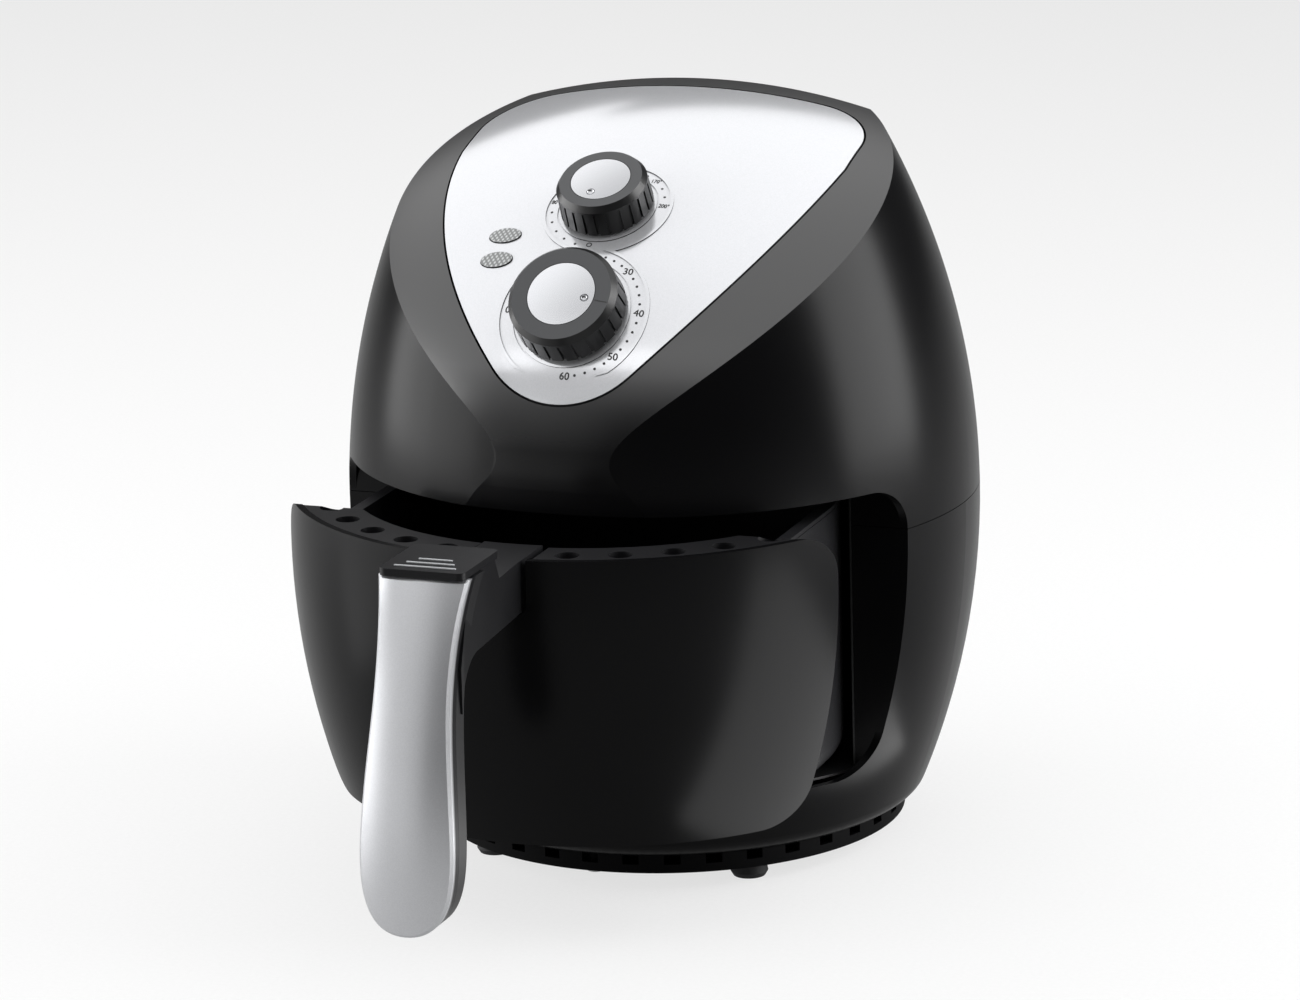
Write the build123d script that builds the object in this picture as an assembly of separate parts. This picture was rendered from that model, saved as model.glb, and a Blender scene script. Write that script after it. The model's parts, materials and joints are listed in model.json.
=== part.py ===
"""Air fryer: a barrel-shaped housing with a domed dial panel and a sliding drawer that holds a basket.

Millimetres, +Z up, the front faces -Y. The origin is the middle of the standing plane between the feet.
Drawer pieces are modelled shut and moved part of the way out when they are written.
"""
import math
import os

from build123d import *

# Housing: a barrel whose side is one arc, cut at the front by a wide dome and at the back by a sphere
BODY_R = 135.0
BELLY_Z = 148.0
SIDE_ARC_R = 331.0
WALL = 3.0
SEAM_Z = 151.5
SEAM_GAP = 0.3
HOUSING_BOTTOM_Z = 16.0
BOTTOM_ROUND = 11.0
DOME_Y = 80.0
DOME_Z = 180.0
DOME_R = 212.0
DOME_H = 137.0
CROWN_Y = 57.0
REAR_R = 300.0
REAR_TILT = 17.0

# Clearances
SEAT = 0.3
RUN = 0.05
SLIDE = 0.5

# Base and feet, set in from the housing's bottom edge
BASE_INSET = 6.5
BASE_Z = 8.0
BASE_FLOOR = 2.5
BASE_WALL = 2.5
BASE_LEDGE = 13.0
BASE_NOTCHES = 36
BASE_NOTCH_W = 7.0
BASE_NOTCH_H = 4.0
FOOT_R = 8.0
FOOT_WAIST_R = 6.8
FOOT_LIP_Z = 2.0
FOOT_INSET = 15.0
FOOT_ANGLE = 42.0
BASE_SCREWS = 4
BASE_SCREW_INSET = 7.0
FLOOR_SLOT_W = 4.0
FLOOR_SLOT_L = 46.0
FLOOR_SLOTS = 7
FLOOR_SLOT_PITCH = 10.0

# Drawer opening and the drawer's front wall, seen from the side
OPEN_REAR_Y = -50.0
OPEN_TOP_Z = 170.5
OPEN_BOTTOM_Z = 44.5
OPEN_CORNER_R = 18.0
JAMB_T = 2.5
DRAWER_GAP = 1.3
DRAWER_REAR_GAP = 7.5
DRAWER_OUT = 67.0
FRONT_INSET = 2.0
FRONT_T = 3.0

# Dial panel: a shield set flush in the dome
PANEL_TILT = 39.0
PANEL_Y = -81.0
PANEL_Z = 266.0
PANEL_T = 1.6
PANEL_GAP = 0.9
PANEL_LEDGE = 5.0
SHIELD_TIP_V = -67.5
SHIELD_TIP_R = 40.0
SHIELD_TIP_HALF = 30.0
SHIELD_SIDE_U = 86.5
SHIELD_SIDE_V = 75.0
SHIELD_TOP_V = 128.5
SHIELD_CORNER_V = 121.0
SHIELD_CORNER_R = 30.0
RIDGE_W = 1.4
RIDGE_H = 0.5
GROOVE_GAP = 1.2
GROOVE_W = 0.6
GROOVE_DEPTH = 0.5

# Dials: place on the panel, radii from the axis out
TIMER_Y = -103.5
TIMER_KNOB_R = 23.6
TIMER_RING_R = 21.1
TIMER_CAP_R = 14.3
TIMER_SCALE_R = 31.4
TEMP_Y = -59.0
TEMP_KNOB_R = 19.6
TEMP_RING_R = 17.4
TEMP_CAP_R = 12.5
TEMP_SCALE_R = 26.4
KNOB_H = 14.0
KNOB_LIFT = 0.8
KNOB_DRAFT = 0.4
KNOB_SHOULDER = 2.5
KNOB_FLUTES = 24
FLUTE_W = 1.3
FLUTE_DEPTH = 1.0
FLUTE_H = 10.5
CAP_SINK = 1.6
CAP_CROWN = 1.0
DIMPLE_R = 1.9
DIMPLE_INSET = 3.6
DIMPLE_LIFT = 1.1
TIMER_POINTER = -8.0
TEMP_POINTER = -100.0
SHAFT_R = 3.0
SHAFT_BORE_L = 10.0
SHAFT_END_GAP = 1.0
PANEL_HOLE_R = 4.4
BUSH_R = 7.0
BUSH_L = 3.0
TIMER_UNIT_R = 22.0
TIMER_UNIT_L = 22.0
BELL_R = 12.0
BELL_H = 6.0
THERMOSTAT_W = 34.0
THERMOSTAT_D = 28.0
THERMOSTAT_L = 15.0

# Indicator lenses
LENS_U = -40.6
LENS_V = (10.3, -3.0)
LENS_W = 15.0
LENS_D = 8.6
LENS_PROUD = 0.6
LAMP_R = 2.6
LAMP_L = 12.0

# Cooking chamber and the drawer's pan and basket, in plan: a round back, straight sides, a round front
CHAMBER_SPACE = 35.0
LINER_T = 1.0
LINER_FLOOR_Z = 45.5
CEILING_Z = 171.6
CEILING_LIP = 5.0
PAN_GAP = 3.5
PAN_FRONT_GAP = 3.0
PAN_T = 1.2
PAN_BOTTOM_Z = 50.5
PAN_TOP_Z = 160.0
PAN_ROUND = 10.0
PLAN_CORNER_R = 24.0
BASKET_GAP = 3.0
BASKET_T = 1.2
BASKET_BOTTOM_Z = 60.0
BASKET_RIM_T = 1.7
BASKET_ROUND = 8.0
GRATE_T = 1.2
GRATE_HOLE_R = 3.6
GRATE_PITCH = 20.0
BUMPER_R = 5.0
BUMPER_Y = (-30.0, -5.0)
RAIL_W = 8.0
RAIL_INSET = 36.5

# Drawer front trim
TRIM_TOP_Z = 168.0
TRIM_T = 4.0
TRIM_SIDE_LIP = 1.0
TRIM_FRONT_LIP = 5.0
TRIM_HOLE_R = 5.0
TRIM_HOLES_A_SIDE = 5
TRIM_HOLE_START = 12.7
TRIM_HOLE_STEP = 10.3
FRONT_SHELF_Z = 66.0

# Handle: lengths forward from the body's widest circle, with the drawer shut
HANDLE_TOP_Z = 180.0
HANDLE_BOTTOM_Z = 44.0
HANDLE_TOP_HALF = 19.0
HANDLE_WAIST_HALF = 15.8
HANDLE_WAIST_Z = 142.0
HANDLE_BELLY_HALF = 19.2
HANDLE_BELLY_Z = 88.0
HANDLE_TOP_REACH = 69.0
HANDLE_MID_REACH = 90.5
HANDLE_END_REACH = 98.0
COVER_T = 9.0
COVER_CROWN = 2.6
COVER_BEVEL = 1.1
GRIP_T = 8.0
NECK_BOTTOM_Z = 148.0
NECK_FRONT_HALF = 17.0
NECK_REAR_HALF = 12.5
NECK_STEP = 2.0
NECK_RAMP = 6.0
NECK_ARC_R = 20.0
NOTCH_GAP = 2.0
NOTCH_ROUND = 6.0

# Button, its guard and the latch
GUARD_L = 38.0
GUARD_T = 3.0
GUARD_HALF = 17.8
GUARD_ROUND = 3.0
GUARD_KEEL_X = 10.0
GUARD_KEEL_INSET = 4.0
GUARD_KEEL_FRONT_GAP = 2.0
GUARD_KEEL_W = 3.0
GUARD_KEEL_H = 2.5
GUARD_TRAVEL = 14.0
GUARD_RIBS = 3
GUARD_RIB_INSET = 5.0
GUARD_RIB_PITCH = 5.5
GUARD_RIB_W = 1.1
GUARD_RIB_H = 0.5
GUARD_RIB_HALF = 12.8
GUARD_RIB_STEP = 2.9
BUTTON_INSET = 7.5
BUTTON_R = 6.0
BUTTON_T = 4.0
BUTTON_ROUND = 0.8
BUTTON_STEM_R = 2.4
BUTTON_TRAVEL = 2.5
STEM_GAP = 0.6
SPRING_R = 4.4
SPRING_WIRE_R = 0.5
SPRING_TURNS = 3
SPRING_FLOOR = 2.0
LEVER_PIN_Z = 164.0
LEVER_PIN_R = 2.0
LEVER_T = 5.0
LEVER_ARM_H = 5.0
LEVER_BUTTON_ARM = 19.0
LEVER_HOOK_ARM = 36.5
LEVER_FRONT_SPACE = 6.0
LEVER_SWING = 6.2
HOOK_DROP = 8.0
HOOK_TOOTH = 4.0
CATCH_T = 2.0
CATCH_HALF = 6.0
CATCH_FOOT_Z = 136.0

# Heater, fans and motor on the body's axis
REFLECTOR_INSET = 2.0
REFLECTOR_T = 0.8
REFLECTOR_TOP_Z = 208.0
REFLECTOR_ROUND = 10.0
REFLECTOR_FLANGE_W = 14.0
HEATER_Z = 184.0
HEATER_TUBE_R = 2.8
HEATER_SIDE_GAP = 5.5
HEATER_PITCH = 8.5
HEATER_HALF_TURNS = 5
HEATER_BEND_R = 9.0
HEATER_LEAD = 26.0
LEAD_HOLE_GAP = 0.6
HANGERS = 3
HANGER_ANGLE = 45.0
HANGER_HALF = 4.0
HANGER_GAP = 1.0
GUARD_PLATE_Z = 175.0
GUARD_PLATE_T = 1.5
GUARD_RING_W = 2.5
GUARD_RING_PITCH = 15.0
GUARD_RINGS = 6
GUARD_SPOKES = 4
GUARD_SPOKE_W = 4.0
GUARD_SPOKE_ANGLE = 22.5
FAN_GAP = 3.7
FAN_BLADES = 16
FAN_BLADE_H = 12.0
FAN_BLADE_T = 1.2
FAN_BLADE_INNER_R = 21.6
FAN_BLADE_EDGE = 1.0
FAN_BLADE_ANGLE = 24.0
FAN_PLATE_Z = 203.0
FAN_PLATE_T = 1.5
FAN_HUB_R = 9.0
NUT_R = 6.5
NUT_H = 5.0
SHAFT_TIP = 8.0
COOLING_FAN_Z = 212.0
COOLING_FAN_GAP = 9.0
COOLING_BLADES = 8
COOLING_BLADE_H = 9.0
COOLING_BLADE_W = 20.0
COOLING_BLADE_PITCH = 22.0
BLADE_ROOT = 2.0
MOTOR_SHAFT_R = 3.0
SHAFT_HOLE_R = 6.0
MOTOR_PLATE_Z = 224.0
MOTOR_PLATE_T = 2.0
MOTOR_PLATE_INSET = 24.0
MOTOR_POST_R = 4.0
MOTOR_POST_INSET = 7.0
MOTOR_POSTS = 4
MOTOR_POST_ANGLE = 45.0
BRACKET_HOLE_R = 12.0
MOTOR_R = 31.0
MOTOR_H = 27.0
MOTOR_ROUND = 4.0
MOTOR_CORE_HALF = 37.0
MOTOR_CORE_W = 22.0
MOTOR_CORE_Z = 6.0
MOTOR_CORE_H = 12.0
MOTOR_BOSS_R = 7.0
MOTOR_BOSS_H = 4.0

# Outlet at the back, and small electrical pieces
GRILLE_HALF = 44.0
GRILLE_LOW_Z = 218.0
GRILLE_HIGH_Z = 268.0
GRILLE_CORNER_R = 8.0
GRILLE_SLOTS = 6
GRILLE_SLOT_H = 4.0
GRILLE_FRAME = 5.0
DUCT_T = 1.5
DUCT_GAP = 5.0
GLAND_Z = 34.0
GLAND_R = 7.0
GLAND_BORE_R = 4.0
GLAND_NOSE = 7.0
GLAND_FLANGE_R = 10.5
GLAND_FLANGE_T = 3.0
SWITCH_W = 20.0
SWITCH_D = 7.0
SWITCH_H = 11.0
SWITCH_Z = 80.0
PLUNGER_R = 1.8
BLOCK_W = 32.0
BLOCK_D = 14.0
BLOCK_H = 11.0
BLOCK_INSET = 26.0
BLOCK_SCREW_PITCH = 10.0
FUSE_R = 3.0
FUSE_L = 22.0
FUSE_INSET = 14.0
FUSE_ANGLE = 120.0
FUSE_CLIP_W = 6.0
FUSE_CLIP_L = 9.0
FUSE_CLIP_T = 1.2
SCREW_R = 2.0
SCREW_HEAD_R = 3.8
SCREW_HEAD_T = 1.6
HANDLE_SCREW_X = 9.0

# Curves: points left out beside a tube's own neighbour, the cover's sweep, and the ends of the handle's face
GAP_SKIP = 8
CROWN_SPAN = 60.0
FACE_TOP_TANGENT = (-0.2, -1.0)
FACE_END_TANGENT = (-1.0, 0.0)


def side_radius(z, inset=0.0):
    """Radius of the barrel's side at a height, inside the skin by inset."""
    return BODY_R - SIDE_ARC_R + math.sqrt((SIDE_ARC_R - inset) ** 2 - (z - BELLY_Z) ** 2)


# Sizes that follow from the ones above
REACH = 2 * BODY_R
FRONT_BACK = FRONT_INSET + FRONT_T
BASE_R = side_radius(HOUSING_BOTTOM_Z) - BASE_INSET
BASE_FLANGE_R = BASE_R - BASE_LEDGE
BASE_SCREW_CIRCLE_R = BASE_R - BASE_SCREW_INSET
FOOT_CIRCLE_R = BASE_R - FOOT_INSET
BLOCK_Y = BASE_FLANGE_R - BLOCK_INSET
CHAMBER_HALF = BODY_R - CHAMBER_SPACE
PAN_HALF = CHAMBER_HALF - PAN_GAP
PAN_FRONT_R = side_radius(PAN_BOTTOM_Z, FRONT_BACK) - PAN_FRONT_GAP
TRIM_INNER_HALF = PAN_HALF - TRIM_SIDE_LIP
TRIM_INNER_FRONT_R = PAN_FRONT_R - TRIM_FRONT_LIP
TRIM_HOLE_CIRCLE_R = (TRIM_INNER_FRONT_R + side_radius(TRIM_TOP_Z, FRONT_BACK)) / 2
RAIL_X = PAN_HALF - RAIL_INSET
CEILING_HOLE_R = CHAMBER_HALF - CEILING_LIP
REFLECTOR_R = CHAMBER_HALF - REFLECTOR_INSET
HEATER_OUTER_R = REFLECTOR_R - HEATER_SIDE_GAP - HEATER_TUBE_R
HEATER_INNER_R = HEATER_OUTER_R - HEATER_HALF_TURNS * HEATER_PITCH / 2
FAN_R = HEATER_INNER_R - HEATER_TUBE_R - FAN_GAP
MOTOR_PLATE_R = REFLECTOR_R - MOTOR_PLATE_INSET
MOTOR_POST_CIRCLE_R = MOTOR_PLATE_R - MOTOR_POST_INSET
COOLING_FAN_R = MOTOR_POST_CIRCLE_R - MOTOR_POST_R - COOLING_FAN_GAP
DUCT_FRONT_Y = MOTOR_PLATE_R + DUCT_GAP
FUSE_CIRCLE_R = REFLECTOR_R - FUSE_INSET
HANDLE_FRONT_TOP_Y = -BODY_R - HANDLE_TOP_REACH
GUARD_REAR_Y = HANDLE_FRONT_TOP_Y + GUARD_L
GUARD_KEEL_L = GUARD_L - GUARD_KEEL_INSET - GUARD_TRAVEL - COVER_T - GUARD_KEEL_FRONT_GAP
BUTTON_Y = GUARD_REAR_Y - BUTTON_INSET
LEVER_PIN_Y = BUTTON_Y - LEVER_BUTTON_ARM
HOOK_Y = LEVER_PIN_Y + LEVER_HOOK_ARM


def dome_height(y):
    """Height of the dome above the middle line at a place along Y."""
    return DOME_Z + DOME_H * math.sqrt(1 - ((DOME_Y - y) / DOME_R) ** 2)


def turned(*lines):
    """Solid of revolution about Z from lines drawn as (radius, height)."""
    edges = [edge for line in lines for edge in line.edges()]
    return revolve(Plane.XZ * make_face(edges), Axis.Z)


def tube(outer_r, inner_r, low, high):
    ring = Circle(outer_r) - Circle(inner_r)
    return extrude(Pos(0, 0, low) * ring, high - low)


def rod(radius, low, high, x=0.0, y=0.0):
    return extrude(Pos(x, y, low) * Circle(radius), high - low)


def block(x0, x1, y0, y1, z0, z1):
    middle = ((x0 + x1) / 2, (y0 + y1) / 2, (z0 + z1) / 2)
    return Pos(*middle) * Box(x1 - x0, y1 - y0, z1 - z0)


def barrel(low, high, inset=0.0):
    middle = (low + high) / 2
    side = ThreePointArc(*[(side_radius(z, inset), z) for z in (low, middle, high)])
    inside = Polyline((side_radius(high, inset), high), (0, high), (0, low), (side_radius(low, inset), low))
    return turned(side, inside)


def dome(inset=0.0):
    across = DOME_R - inset
    top = DOME_Z + DOME_H - inset
    skin = EllipticalCenterArc((0, DOME_Z), across, DOME_H - inset, 0, arc_size=90)
    inside = Polyline((0, top), (0, 0), (across, 0), (across, DOME_Z))
    return Pos(0, DOME_Y, 0) * turned(skin, inside)


def rear_ball(inset=0.0):
    tilt = math.radians(REAR_TILT)
    y = CROWN_Y - REAR_R * math.sin(tilt)
    z = dome_height(CROWN_Y) - REAR_R * math.cos(tilt)
    return Pos(0, y, z) * Sphere(REAR_R - inset)


def envelope(low, inset=0.0):
    """The housing's outer form above a height, shrunk by inset."""
    return barrel(low, DOME_Z + DOME_H, inset) & dome(inset) & rear_ball(inset)


def front_prism(gap=0.0, rear_gap=0.0):
    """Space in front of the opening's rear edge, drawn from the side, smaller by the gaps."""
    deep = REACH + OPEN_REAR_Y - rear_gap
    tall = OPEN_TOP_Z - OPEN_BOTTOM_Z - 2 * gap
    middle = Pos(OPEN_REAR_Y - rear_gap - deep / 2, OPEN_BOTTOM_Z + gap + tall / 2)
    outline = middle * Rectangle(deep, tall)
    rear = outline.vertices().group_by(Axis.X)[-1]
    return extrude(Plane.YZ * fillet(rear, OPEN_CORNER_R - gap), REACH, both=True)


def plan(half, front_r):
    """Plan of the pan, basket and chamber: round back, straight sides and a round front."""
    corner_y = -math.sqrt(front_r**2 - half**2)
    back = ThreePointArc((half, 0), (0, half), (-half, 0))
    left = Line((-half, 0), (-half, corner_y))
    front = ThreePointArc((-half, corner_y), (0, -front_r), (half, corner_y))
    right = Line((half, corner_y), (half, 0))
    face = make_face([back, left, front, right])
    corners = face.vertices().group_by(Axis.Y)[0]
    return fillet(corners, PLAN_CORNER_R)


def column(half, front_r, low, high):
    return extrude(Pos(0, 0, low) * plan(half, front_r), high - low)


def dished(half, front_r, low, high, rounding):
    """A column with its bottom edge rounded."""
    solid = column(half, front_r, low, high)
    return fillet(solid.faces().sort_by(Axis.Z)[0].edges(), rounding)


def least_gap(path, radius):
    """Least clear distance of a tube to itself, measured on points along its path."""
    count = round(path.length / radius)
    points = [path @ (i / count) for i in range(count + 1)]
    apart = [(a - b).length for i, a in enumerate(points) for b in points[i + GAP_SKIP:]]
    return min(apart) - 2 * radius


def dial_plane(y):
    """Plane on the dome's middle line, with its normal pointing out."""
    across = DOME_Y - y
    rise = dome_height(y) - DOME_Z
    normal = (0, -across / DOME_R**2, rise / DOME_H**2)
    return Plane(origin=(0, y, dome_height(y)), x_dir=(1, 0, 0), z_dir=normal)


def panel_plane():
    tilt = math.radians(PANEL_TILT)
    return Plane(origin=(0, PANEL_Y, PANEL_Z), x_dir=(1, 0, 0), z_dir=(0, -math.sin(tilt), math.cos(tilt)))


def shield(inset):
    """Outline of the dial panel: a round tip, swelling sides and a shallow top."""
    centre_v = SHIELD_TIP_V + SHIELD_TIP_R
    tip_v = centre_v - math.sqrt(SHIELD_TIP_R**2 - SHIELD_TIP_HALF**2)
    join = (SHIELD_TIP_HALF, tip_v)
    side = (SHIELD_SIDE_U, SHIELD_SIDE_V)
    corner = (SHIELD_SIDE_U, SHIELD_CORNER_V)
    tip = ThreePointArc((-join[0], join[1]), (0, SHIELD_TIP_V), join)
    swell = TangentArc(join, side, tangent=(centre_v - tip_v, SHIELD_TIP_HALF))
    straight = Line(side, corner)
    top = ThreePointArc(corner, (0, SHIELD_TOP_V), (-corner[0], corner[1]))
    mirrored = [mirror(line, about=Plane.YZ) for line in (straight, swell)]
    face = make_face([edge for line in (tip, swell, straight, top, *mirrored) for edge in line.edges()])
    corners = [v for v in face.vertices() if abs(v.Y - SHIELD_CORNER_V) < SEAT]
    return offset(fillet(corners, SHIELD_CORNER_R), -inset) if inset else fillet(corners, SHIELD_CORNER_R)


def panel_prism(inset):
    return extrude(panel_plane() * shield(inset), BODY_R, both=True)


def lens_sketch(v, grow=0.0):
    return Pos(LENS_U, v) * Ellipse(LENS_W / 2 + grow, LENS_D / 2 + grow)


def window_prism(inset):
    """Outlet window in the back wall."""
    wide = 2 * (GRILLE_HALF - inset)
    tall = GRILLE_HIGH_Z - GRILLE_LOW_Z - 2 * inset
    outline = RectangleRounded(wide, tall, GRILLE_CORNER_R - inset)
    rear = Plane(origin=(0, 0, (GRILLE_LOW_Z + GRILLE_HIGH_Z) / 2), x_dir=(-1, 0, 0), z_dir=(0, 1, 0))
    return extrude(rear * outline, REACH)


def base_screw_places():
    angles = [math.radians(i * 360 / BASE_SCREWS) for i in range(BASE_SCREWS)]
    return [(BASE_SCREW_CIRCLE_R * math.sin(a), BASE_SCREW_CIRCLE_R * math.cos(a)) for a in angles]


def jamb(low, high):
    """Return wall that closes the housing behind the opening's rear edge, up to the chamber's liner."""
    wall = barrel(low, high, WALL / 2) & block(-REACH, REACH, OPEN_REAR_Y, OPEN_REAR_Y + JAMB_T, low, high)
    room = LINER_T + SEAT
    return wall - column(CHAMBER_HALF + room, PAN_FRONT_R + room, 0, REACH)


# Housing shells

def make_lower_housing():
    low = HOUSING_BOTTOM_Z
    high = SEAM_Z - SEAM_GAP / 2
    outer = barrel(low, high)
    outer = fillet(outer.edges().group_by(Axis.Z)[0], BOTTOM_ROUND)
    inner = barrel(low + WALL, high + WALL, WALL)
    shell = outer - inner - rod(BASE_FLANGE_R, low - WALL, low + 2 * WALL)
    shell -= front_prism()
    shell += jamb(OPEN_BOTTOM_Z - WALL, high)
    gland = Plane(origin=(0, 0, GLAND_Z), x_dir=(1, 0, 0), z_dir=(0, 1, 0))
    shell -= extrude(gland * Circle(GLAND_R + SEAT), REACH)
    for x, y in base_screw_places():
        shell -= rod(SCREW_R + RUN, low - WALL, low + 2 * WALL, x, y)
    return shell


def make_upper_housing():
    low = SEAM_Z + SEAM_GAP / 2
    shell = envelope(low) - envelope(low - WALL, WALL)
    shell -= front_prism()
    shell += jamb(low, CEILING_Z - SEAT)
    shell -= panel_prism(0) - dome(PANEL_T + SEAT)
    shell -= panel_prism(PANEL_LEDGE)
    shell -= window_prism(0)
    return shell


def make_control_panel():
    panel = (panel_prism(PANEL_GAP) & dome()) - dome(PANEL_T)
    rings = extrude(dial_plane(TIMER_Y) * Circle(TIMER_SCALE_R + RIDGE_W), WALL, both=True)
    rings += extrude(dial_plane(TEMP_Y) * Circle(TEMP_SCALE_R + RIDGE_W), WALL, both=True)
    rings -= extrude(dial_plane(TIMER_Y) * Circle(TIMER_SCALE_R), 2 * WALL, both=True)
    rings -= extrude(dial_plane(TEMP_Y) * Circle(TEMP_SCALE_R), 2 * WALL, both=True)
    panel += (rings & dome(-RIDGE_H)) - dome(PANEL_T / 2)
    for y, knob_r in ((TIMER_Y, TIMER_KNOB_R), (TEMP_Y, TEMP_KNOB_R)):
        inner_r = knob_r + GROOVE_GAP
        groove = dial_plane(y) * (Circle(inner_r + GROOVE_W) - Circle(inner_r))
        panel -= extrude(groove, WALL, both=True) - dome(GROOVE_DEPTH)
        panel -= extrude(dial_plane(y) * Circle(PANEL_HOLE_R), BODY_R / 2, both=True)
    for v in LENS_V:
        panel -= extrude(panel_plane() * lens_sketch(v), BODY_R, both=True)
    return panel


def make_indicator_lenses():
    lenses = []
    for v in LENS_V:
        prism = extrude(panel_plane() * lens_sketch(v, -SEAT), BODY_R, both=True)
        foot = extrude(panel_plane() * lens_sketch(v, RIDGE_W), BODY_R, both=True)
        lens = (prism & dome(-LENS_PROUD)) - dome(PANEL_T + SEAT)
        lens += (foot & dome(PANEL_T + SEAT)) - dome(PANEL_T + SEAT + RIDGE_W)
        lenses.append(lens)
    return lenses


def make_indicator_lamps():
    lamps = []
    for v in LENS_V:
        seat = panel_plane() * Pos(LENS_U, v)
        inside = extrude(seat * Circle(LAMP_R), LAMP_L + BODY_R, both=True)
        lamp = (inside & dome(PANEL_T + RIDGE_W + 2 * SEAT)) - dome(PANEL_T + RIDGE_W + LAMP_L)
        lamps.append(lamp)
    return lamps


# Base

def make_base_plate():
    top = HOUSING_BOTTOM_Z - SEAT
    plate = rod(BASE_R, BASE_Z, top) - rod(BASE_R - BASE_WALL, BASE_Z + BASE_FLOOR, top + WALL)
    notch = Pos(BASE_R, 0, top - BASE_NOTCH_H / 2) * Box(4 * BASE_WALL, BASE_NOTCH_W, BASE_NOTCH_H)
    plate -= [Rot(0, 0, i * 360 / BASE_NOTCHES) * notch for i in range(BASE_NOTCHES)]
    for x, y in base_screw_places():
        plate += rod(2 * SCREW_R, BASE_Z + BASE_FLOOR, top, x, y)
        plate -= rod(SCREW_R + RUN, BASE_Z - WALL, top + WALL, x, y)
    slots = SlotOverall(FLOOR_SLOT_L, FLOOR_SLOT_W)
    first = -(FLOOR_SLOTS - 1) / 2 * FLOOR_SLOT_PITCH
    for i in range(FLOOR_SLOTS):
        plate -= extrude(Pos(0, first + i * FLOOR_SLOT_PITCH, 0) * slots, HOUSING_BOTTOM_Z)
    return plate


def make_rubber_feet():
    side = (FOOT_WAIST_R, 0), (FOOT_R, FOOT_LIP_Z), (FOOT_WAIST_R, BASE_Z)
    foot = turned(Polyline((0, 0), *side, (0, BASE_Z), (0, 0)))
    angles = (FOOT_ANGLE, 180 - FOOT_ANGLE, 180 + FOOT_ANGLE, -FOOT_ANGLE)
    return [Rot(0, 0, a) * Pos(0, -FOOT_CIRCLE_R, 0) * foot for a in angles]


def make_base_screws():
    screws = []
    for x, y in base_screw_places():
        screw = rod(SCREW_R, BASE_Z, HOUSING_BOTTOM_Z + WALL, x, y)
        screws.append(screw + rod(SCREW_HEAD_R, BASE_Z - SCREW_HEAD_T, BASE_Z, x, y))
    return screws


# Cooking chamber

def make_chamber_liner():
    outer = CHAMBER_HALF + LINER_T
    outer_front = PAN_FRONT_R + LINER_T
    top = CEILING_Z + LINER_T
    walls = column(outer, outer_front, LINER_FLOOR_Z, top)
    walls -= column(CHAMBER_HALF, PAN_FRONT_R, LINER_FLOOR_Z + LINER_T, top + WALL)
    opening = block(-REACH, REACH, -REACH, OPEN_REAR_Y + LINER_T, LINER_FLOOR_Z + LINER_T, top + WALL)
    walls -= opening
    ceiling = barrel(CEILING_Z, top, WALL + SEAT) & dome(WALL + SEAT)
    liner = walls + ceiling - rod(CEILING_HOLE_R, CEILING_Z - WALL, top + WALL)
    plunger = Plane(origin=(0, 0, SWITCH_Z), x_dir=(1, 0, 0), z_dir=(0, 1, 0))
    return liner - extrude(plunger * Circle(PLUNGER_R + SEAT), REACH)


def make_drawer_rails():
    low = LINER_FLOOR_Z + LINER_T
    high = PAN_BOTTOM_Z - SEAT
    rail = block(RAIL_X - RAIL_W / 2, RAIL_X + RAIL_W / 2, OPEN_REAR_Y - RAIL_W, CHAMBER_HALF / 2, low, high)
    return [rail, mirror(rail, about=Plane.YZ)]


def make_heat_reflector():
    top = CEILING_Z + LINER_T
    can = rod(REFLECTOR_R + REFLECTOR_T, top, REFLECTOR_TOP_Z + REFLECTOR_T)
    can = fillet(can.edges().group_by(Axis.Z)[-1], REFLECTOR_ROUND + REFLECTOR_T)
    hollow = rod(REFLECTOR_R, top - WALL, REFLECTOR_TOP_Z)
    hollow = fillet(hollow.edges().group_by(Axis.Z)[-1], REFLECTOR_ROUND)
    can += tube(REFLECTOR_R + REFLECTOR_FLANGE_W, REFLECTOR_R, top, top + REFLECTOR_T)
    can -= hollow
    can -= rod(SHAFT_HOLE_R, top, REACH)
    for x, y in heater_lead_places():
        can -= rod(HEATER_TUBE_R + LEAD_HOLE_GAP, top + HEATER_TUBE_R, REACH, x, y)
    return can


def heater_ends():
    """Inner and outer end of the spiral, on the X axis."""
    sign = 1 if HEATER_HALF_TURNS % 2 == 0 else -1
    return HEATER_INNER_R, sign * HEATER_OUTER_R


def heater_lead_places():
    inner, outer = heater_ends()
    return (inner, -HEATER_BEND_R), (outer, HEATER_BEND_R * math.copysign(1, outer))


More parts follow.
